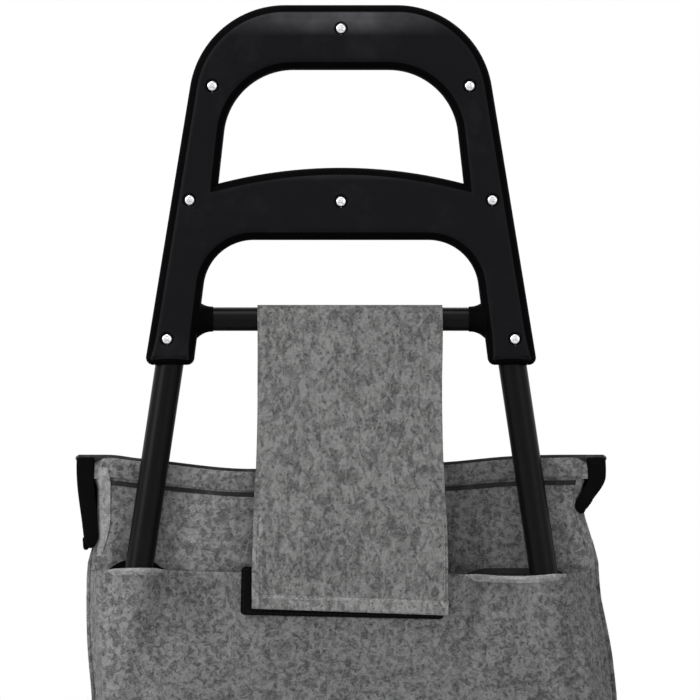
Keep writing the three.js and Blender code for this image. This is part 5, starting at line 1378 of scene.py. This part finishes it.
def build_lid():
    top = lid_top()
    lid_hinge_strip()

    # skirt: from the left rear edge round the front to the right rear edge
    corner_x, corner_y = LID_HALF - LID_CORNER, LID_FRONT - LID_CORNER
    left = [(-LID_HALF, v) for v in np.linspace(HINGE_Y, corner_y, 40)]
    left += [(-corner_x - LID_CORNER * math.cos(a), corner_y + LID_CORNER * math.sin(a))
             for a in np.linspace(0, math.pi / 2, 14)[1:]]
    front = [(v, LID_FRONT) for v in np.linspace(-corner_x, corner_x, 70)[1:]]
    path = np.array(left + front + [(-a, b) for a, b in left[::-1]])
    tangent = unit(np.gradient(path, axis=0))
    outward = np.stack([-tangent[:, 1], tangent[:, 0]], 1)
    # the right side is tucked in, and its hem runs higher
    right = smooth(path[:, 0], 118 * MM, 168 * MM)
    z_top = lid_top_height(path[:, 0], path[:, 1]) - 0.5 * MM
    rows = 26
    t = np.linspace(0, 1, rows)[:, None]
    z = z_top + (LID_LOW.z + 1 * MM + right * 19 * MM - z_top) * t
    drop = LID_TOP - z
    tuck = -3.8 * MM * smooth(drop, 0, 55 * MM) - right * 9 * MM * smooth(drop, 14 * MM, 38 * MM)
    place = path + outward * (tuck + 1.2 * MM * np.sin(math.pi * t))[..., None]
    skirt = np.concatenate([place, z[..., None]], 2)
    wave = 1.5 * MM * rough_field(skirt, 16, 15, (1, 1, 0.4)) + 0.8 * MM * rough_field(skirt, 40, 16)
    n = normals_of(skirt)
    facing = np.sign(n[0, len(path) // 2, 1])
    over_patch = 1 - (1 - smooth(abs(skirt[..., 0]), 34 * MM, 50 * MM)) * (skirt[..., 1] > 100 * MM)
    calm = 0.25 + 0.75 * smooth(skirt[..., 1], HINGE_Y, HINGE_Y + 30 * MM)
    skirt += n * facing * (wave * t ** 0.7 * over_patch * calm)[..., None]
    sides = cloth_panel("cloth_lid_skirt", skirt, LID_THICK * facing, CLOTH, LINING)
    stands(joined("cloth_lid", [top, sides]), "lid", "lid", slot="grey_fabric")

    edge = skirt[0] + np.array([0, 0, -0.6 * MM])
    stands(swept("lid_piping", edge, circle(2.1 * MM, 12), CLOTH), "lid", slot="grey_fabric")
    n = normals_of(skirt) * facing
    # black binding along the skirt's hem and up its two rear edges
    hem, hem_side = ((v[-1] + (v[-6] - v[-1]) * right[:, None])[1:-1] for v in (skirt, n))
    section = strip_section(1.9, 9, 1.2, -0.9, 0)
    stands(swept("lid_hem_binding", hem, section, TAPE, side=hem_side), "lid", slot="black_tape")
    for tag, j, wide, below in (("left", 0, 6.3 * MM, 7.5 * MM), ("right", -1, 6.6 * MM, 3 * MM)):
        column = skirt[:, j] + np.array([0, -1 * MM, 0])
        column = np.concatenate([column, [column[-1] - np.array([0, 0, below])]])
        run = run_along(column)
        column = sampled(np.linspace(0, run[-1], 70), run, column)
        flat = [(math.copysign(abs(u) ** 0.6, u) * wide, math.copysign(abs(v) ** 0.7, v) * 2.4 * MM)
                for u, v in circle(1, 20)]
        to_end = np.clip((column[:, 2] - column[-1, 2]) / (wide * 1.6), 0, 1)
        round_end = np.sqrt(np.clip(1 - (1 - to_end) ** 2, 0.05, 1))
        narrowed = round_end * (1 - 0.2 * np.linspace(0, 1, len(column)))
        inward_x = -math.copysign(wide - 1.2 * MM, skirt[0, j, 0])
        column[:, 0] += inward_x * (1 if tag == "left" else 0.5 + 0.5 * narrowed)
        sides = np.tile((1.0, 0, 0), (len(column), 1))
        piece = swept(f"{tag}_binding", column, flat, TAPE, side=sides, scale=narrowed)
        stands(piece, "lid", tag + "_lid_binding", slot="black_tape")
    seams = (("lid_stitches", 3, 0.2 * MM, THREAD, "grey_fabric"),
             ("lid_binding_stitches", rows - 4, 1.1 * MM, THREAD_DARK, "black_tape"))
    for name, row, raised, finish, slot in seams:
        threads = Stitches()
        threads.line(skirt[row, 6:-6], n[row, 6:-6], raised)
        stands(threads.piece(name, finish), "lid", slot=slot)


# Hook-and-loop patches and the hanging loop

def patch(node, body, lift=0.0, tilt=0.0):
    """A stitched patch of tape with rounded corners, maybe a little high or askew. Without a body it is
    baked in place like the bag's cloth."""
    low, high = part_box(node)
    half_x, half_z = (high.x - low.x) / 2, (high.z - low.z) / 2
    turn = np.array([[math.cos(tilt), math.sin(tilt)], [-math.sin(tilt), math.cos(tilt)]])
    middle = np.array([mid(node).x, mid(node).z + lift])
    face, back = (high.y, low.y) if node == "bag_loop_patch" else (low.y, high.y)
    out = -1 if face < back else 1
    profile = [(0, 0.35 * MM), (0.25 * MM, 0.08 * MM), (0.6 * MM, 0)]
    outline = rounded_box(half_x, half_z, 3 * MM, 12) @ turn + middle
    piece = plate("fine_" + node, outline, [], face, back, profile, LOOPS)
    seam = rounded_box(half_x - 2 * MM, half_z - 2 * MM, 2 * MM, 15) @ turn + middle
    line = [(x, face + out * 0.05 * MM, z) for x, z in (*seam, seam[0])]
    threads = Stitches()
    threads.line(line, np.tile((0, out, 0.0), (len(line), 1)))
    row = threads.piece("stitches_" + node, THREAD_DARK)
    if body:
        stands(piece, body, node, slot="black_tape")
        stands(row, body, slot="black_tape")
    else:
        to_bag(piece, "black_tape", node)
        to_bag(row, "black_tape")


def ribbon_grid(stations, centre_x, cols):
    """Rows of points across a band that follows stations of (y, z, half width)."""
    y, z, half = (np.array(v, float)[:, None] for v in zip(*stations))
    return np.stack(np.broadcast_arrays(centre_x + half * np.linspace(-1, 1, cols), y, z), 2)


def ribbon_length(grid):
    return float(run_along(grid[:, grid.shape[1] // 2])[-1])


def build_loop():
    """The band from the bag's back over the crossbar."""
    low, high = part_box("hanging_loop")
    centre, half = (low.x + high.x) / 2, (high.x - low.x) / 2
    radius = 8.4 * MM
    seam_y, top_y, foot_z = high.y - 1.6 * MM, PLANE_Y + radius, RIM_Z + 6 * MM
    stations = [(seam_y, z, half) for z in np.linspace(low.z, RIM_Z + 4 * MM, 12)]
    stations += [(seam_y + (top_y - seam_y) * float(smooth(t, 0, 1)), foot_z + (BAR_Z - foot_z) * t, half)
                 for t in np.linspace(0, 1, 26)[1:]]
    stations += [(PLANE_Y + radius * math.cos(a), BAR_Z + radius * math.sin(a), half)
                 for a in np.linspace(0, 3.0, 22)[1:]]
    grid = ribbon_grid(stations, centre, 44)
    z = grid[..., 2]
    slack = smooth(z, RIM_Z, RIM_Z + 30 * MM) * (1 - smooth(z, BAR_Z - 30 * MM, BAR_Z - 4 * MM))
    grid[..., 1] += slack * 1.1 * MM * rough_field(grid, 22, 21, (1.4, 0.2, 0.6))
    loop = cloth_panel("cloth_hanging_loop", grid, 1.2 * MM, CLOTH_FLAP)
    stands(loop, "frame", "hanging_loop", slot="grey_fabric")
    ribbon_length(grid)
    build_flap(half)


def build_flap(half):
    """The loop's end, which hangs from the crossbar over the sleeve and widens on the way."""
    low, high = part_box("hanging_loop_tab")
    centre, tab_half = (low.x + high.x) / 2, (high.x - low.x) / 2
    end_y = low.y + 1.6 * MM
    lap = 10 * MM
    start_y, foot_z = PLANE_Y - lap, low.z + 3 * MM
    full_drop = BAR_Z - MOUTH_Z - 2 * MM
    stations, first_turn = [], 2.62
    for a in np.linspace(first_turn, math.pi, 10)[:-1]:
        r = lap - 0.9 * MM * (1 - smooth(a, first_turn, 2.8))
        stations.append((PLANE_Y + r * math.cos(a), BAR_Z + r * math.sin(a), half))
    for drop in (BAR_Z - foot_z) * np.linspace(0, 1, 64):
        stations.append((start_y + (end_y - start_y) * smooth(drop, 10 * MM, full_drop), BAR_Z - drop,
                         half + (tab_half - half) * smooth(drop, 60 * MM, full_drop)))
    grid = ribbon_grid(stations, centre, 60)
    x, drop = grid[..., 0] - centre, BAR_Z - grid[..., 2]
    free = smooth(drop, 4 * MM, 40 * MM)
    off_sleeve = 1 - smooth(MOUTH_Z + 20 * MM - grid[..., 2], 0, 30 * MM)
    grid[..., 1] -= free * 0.9 * MM * (1 + rough_field(grid, 14, 23, (1, 0.2, 0.7))) * off_sleeve
    grid[..., 1] -= free * 0.5 * MM * rough_field(grid, 34, 24, (1, 0.2, 0.8))
    # side edges are folded under, so they are a little thicker and wavy
    grid[..., 0] += np.sign(x) * 0.7 * MM * rough_field(grid, 26, 25) * smooth(abs(x), half * 0.6, half)
    grid[..., 2] -= 2.3 * MM * (x / tab_half) * smooth(drop, 0.12, 0.19)
    tab = cloth_panel("cloth_loop_tab", grid, -2.0 * MM, CLOTH_FLAP)
    stands(tab, "loop_tab", "hanging_loop_tab", slot="grey_fabric")
    n = normals_of(grid)
    n *= np.sign(-n[30, 30, 1])
    pieces = []
    first = int(len(grid) * 0.72)
    # the left fold is in the lighter edge cloth: a painted highlight
    for tag, columns, finish in (("left", (3, 2, 1, 0), CLOTH_EDGE_HIGHLIGHT), ("right", (-1, -2, -3, -4), CLOTH_FLAP)):
        outer = 0 if tag == "left" else -1
        strip = grid[first:, columns]
        strip = strip + n[first:, outer][:, None] * 0.45 * MM * np.linspace(0.2, 1, len(strip))[:, None, None]
        pieces.append(cloth_panel(f"tab_side_fold_{tag}", strip, 0.9 * MM, finish))
    # the hem is in the lighter edge cloth too: a painted highlight
    section = strip_section(2.3, 10, 1.5, -0.2, 1.6)
    pieces.append(swept("tab_hem", grid[-1] - n[-1] * 0.9 * MM, section, CLOTH_EDGE_HIGHLIGHT, side=n[-1]))
    threads = Stitches()
    for j in (1, -2):
        threads.line(grid[first:-4, j], n[first:-4, j], 0.6 * MM)
    row = int(np.argmin(abs(grid[:, 30, 2] - (foot_z + 7 * MM))))
    threads.line(grid[row, 3:-3], n[row, 3:-3], 0.7 * MM, 3.6 * MM, 2.9 * MM, 0.6 * MM)
    pieces.append(threads.piece("tab_stitches"))
    for p in pieces:
        stands(p, "loop_tab", slot="grey_fabric")
    ribbon_length(grid)
    (half + tab_half) * ribbon_length(grid)


build_stage()
build_handle()
build_tubes()
build_running_gear()
build_platform()
build_bag()
build_sleeve()
build_pocket()
build_lid()
patch("lid_hook_patch", "lid")
patch("bag_loop_patch", None)
patch("sleeve_loop_patch", "frame", 3 * MM, -0.022)
patch("tab_hook_patch", "loop_tab")
build_loop()

bpy.context.scene.view_settings.view_transform = "Standard"
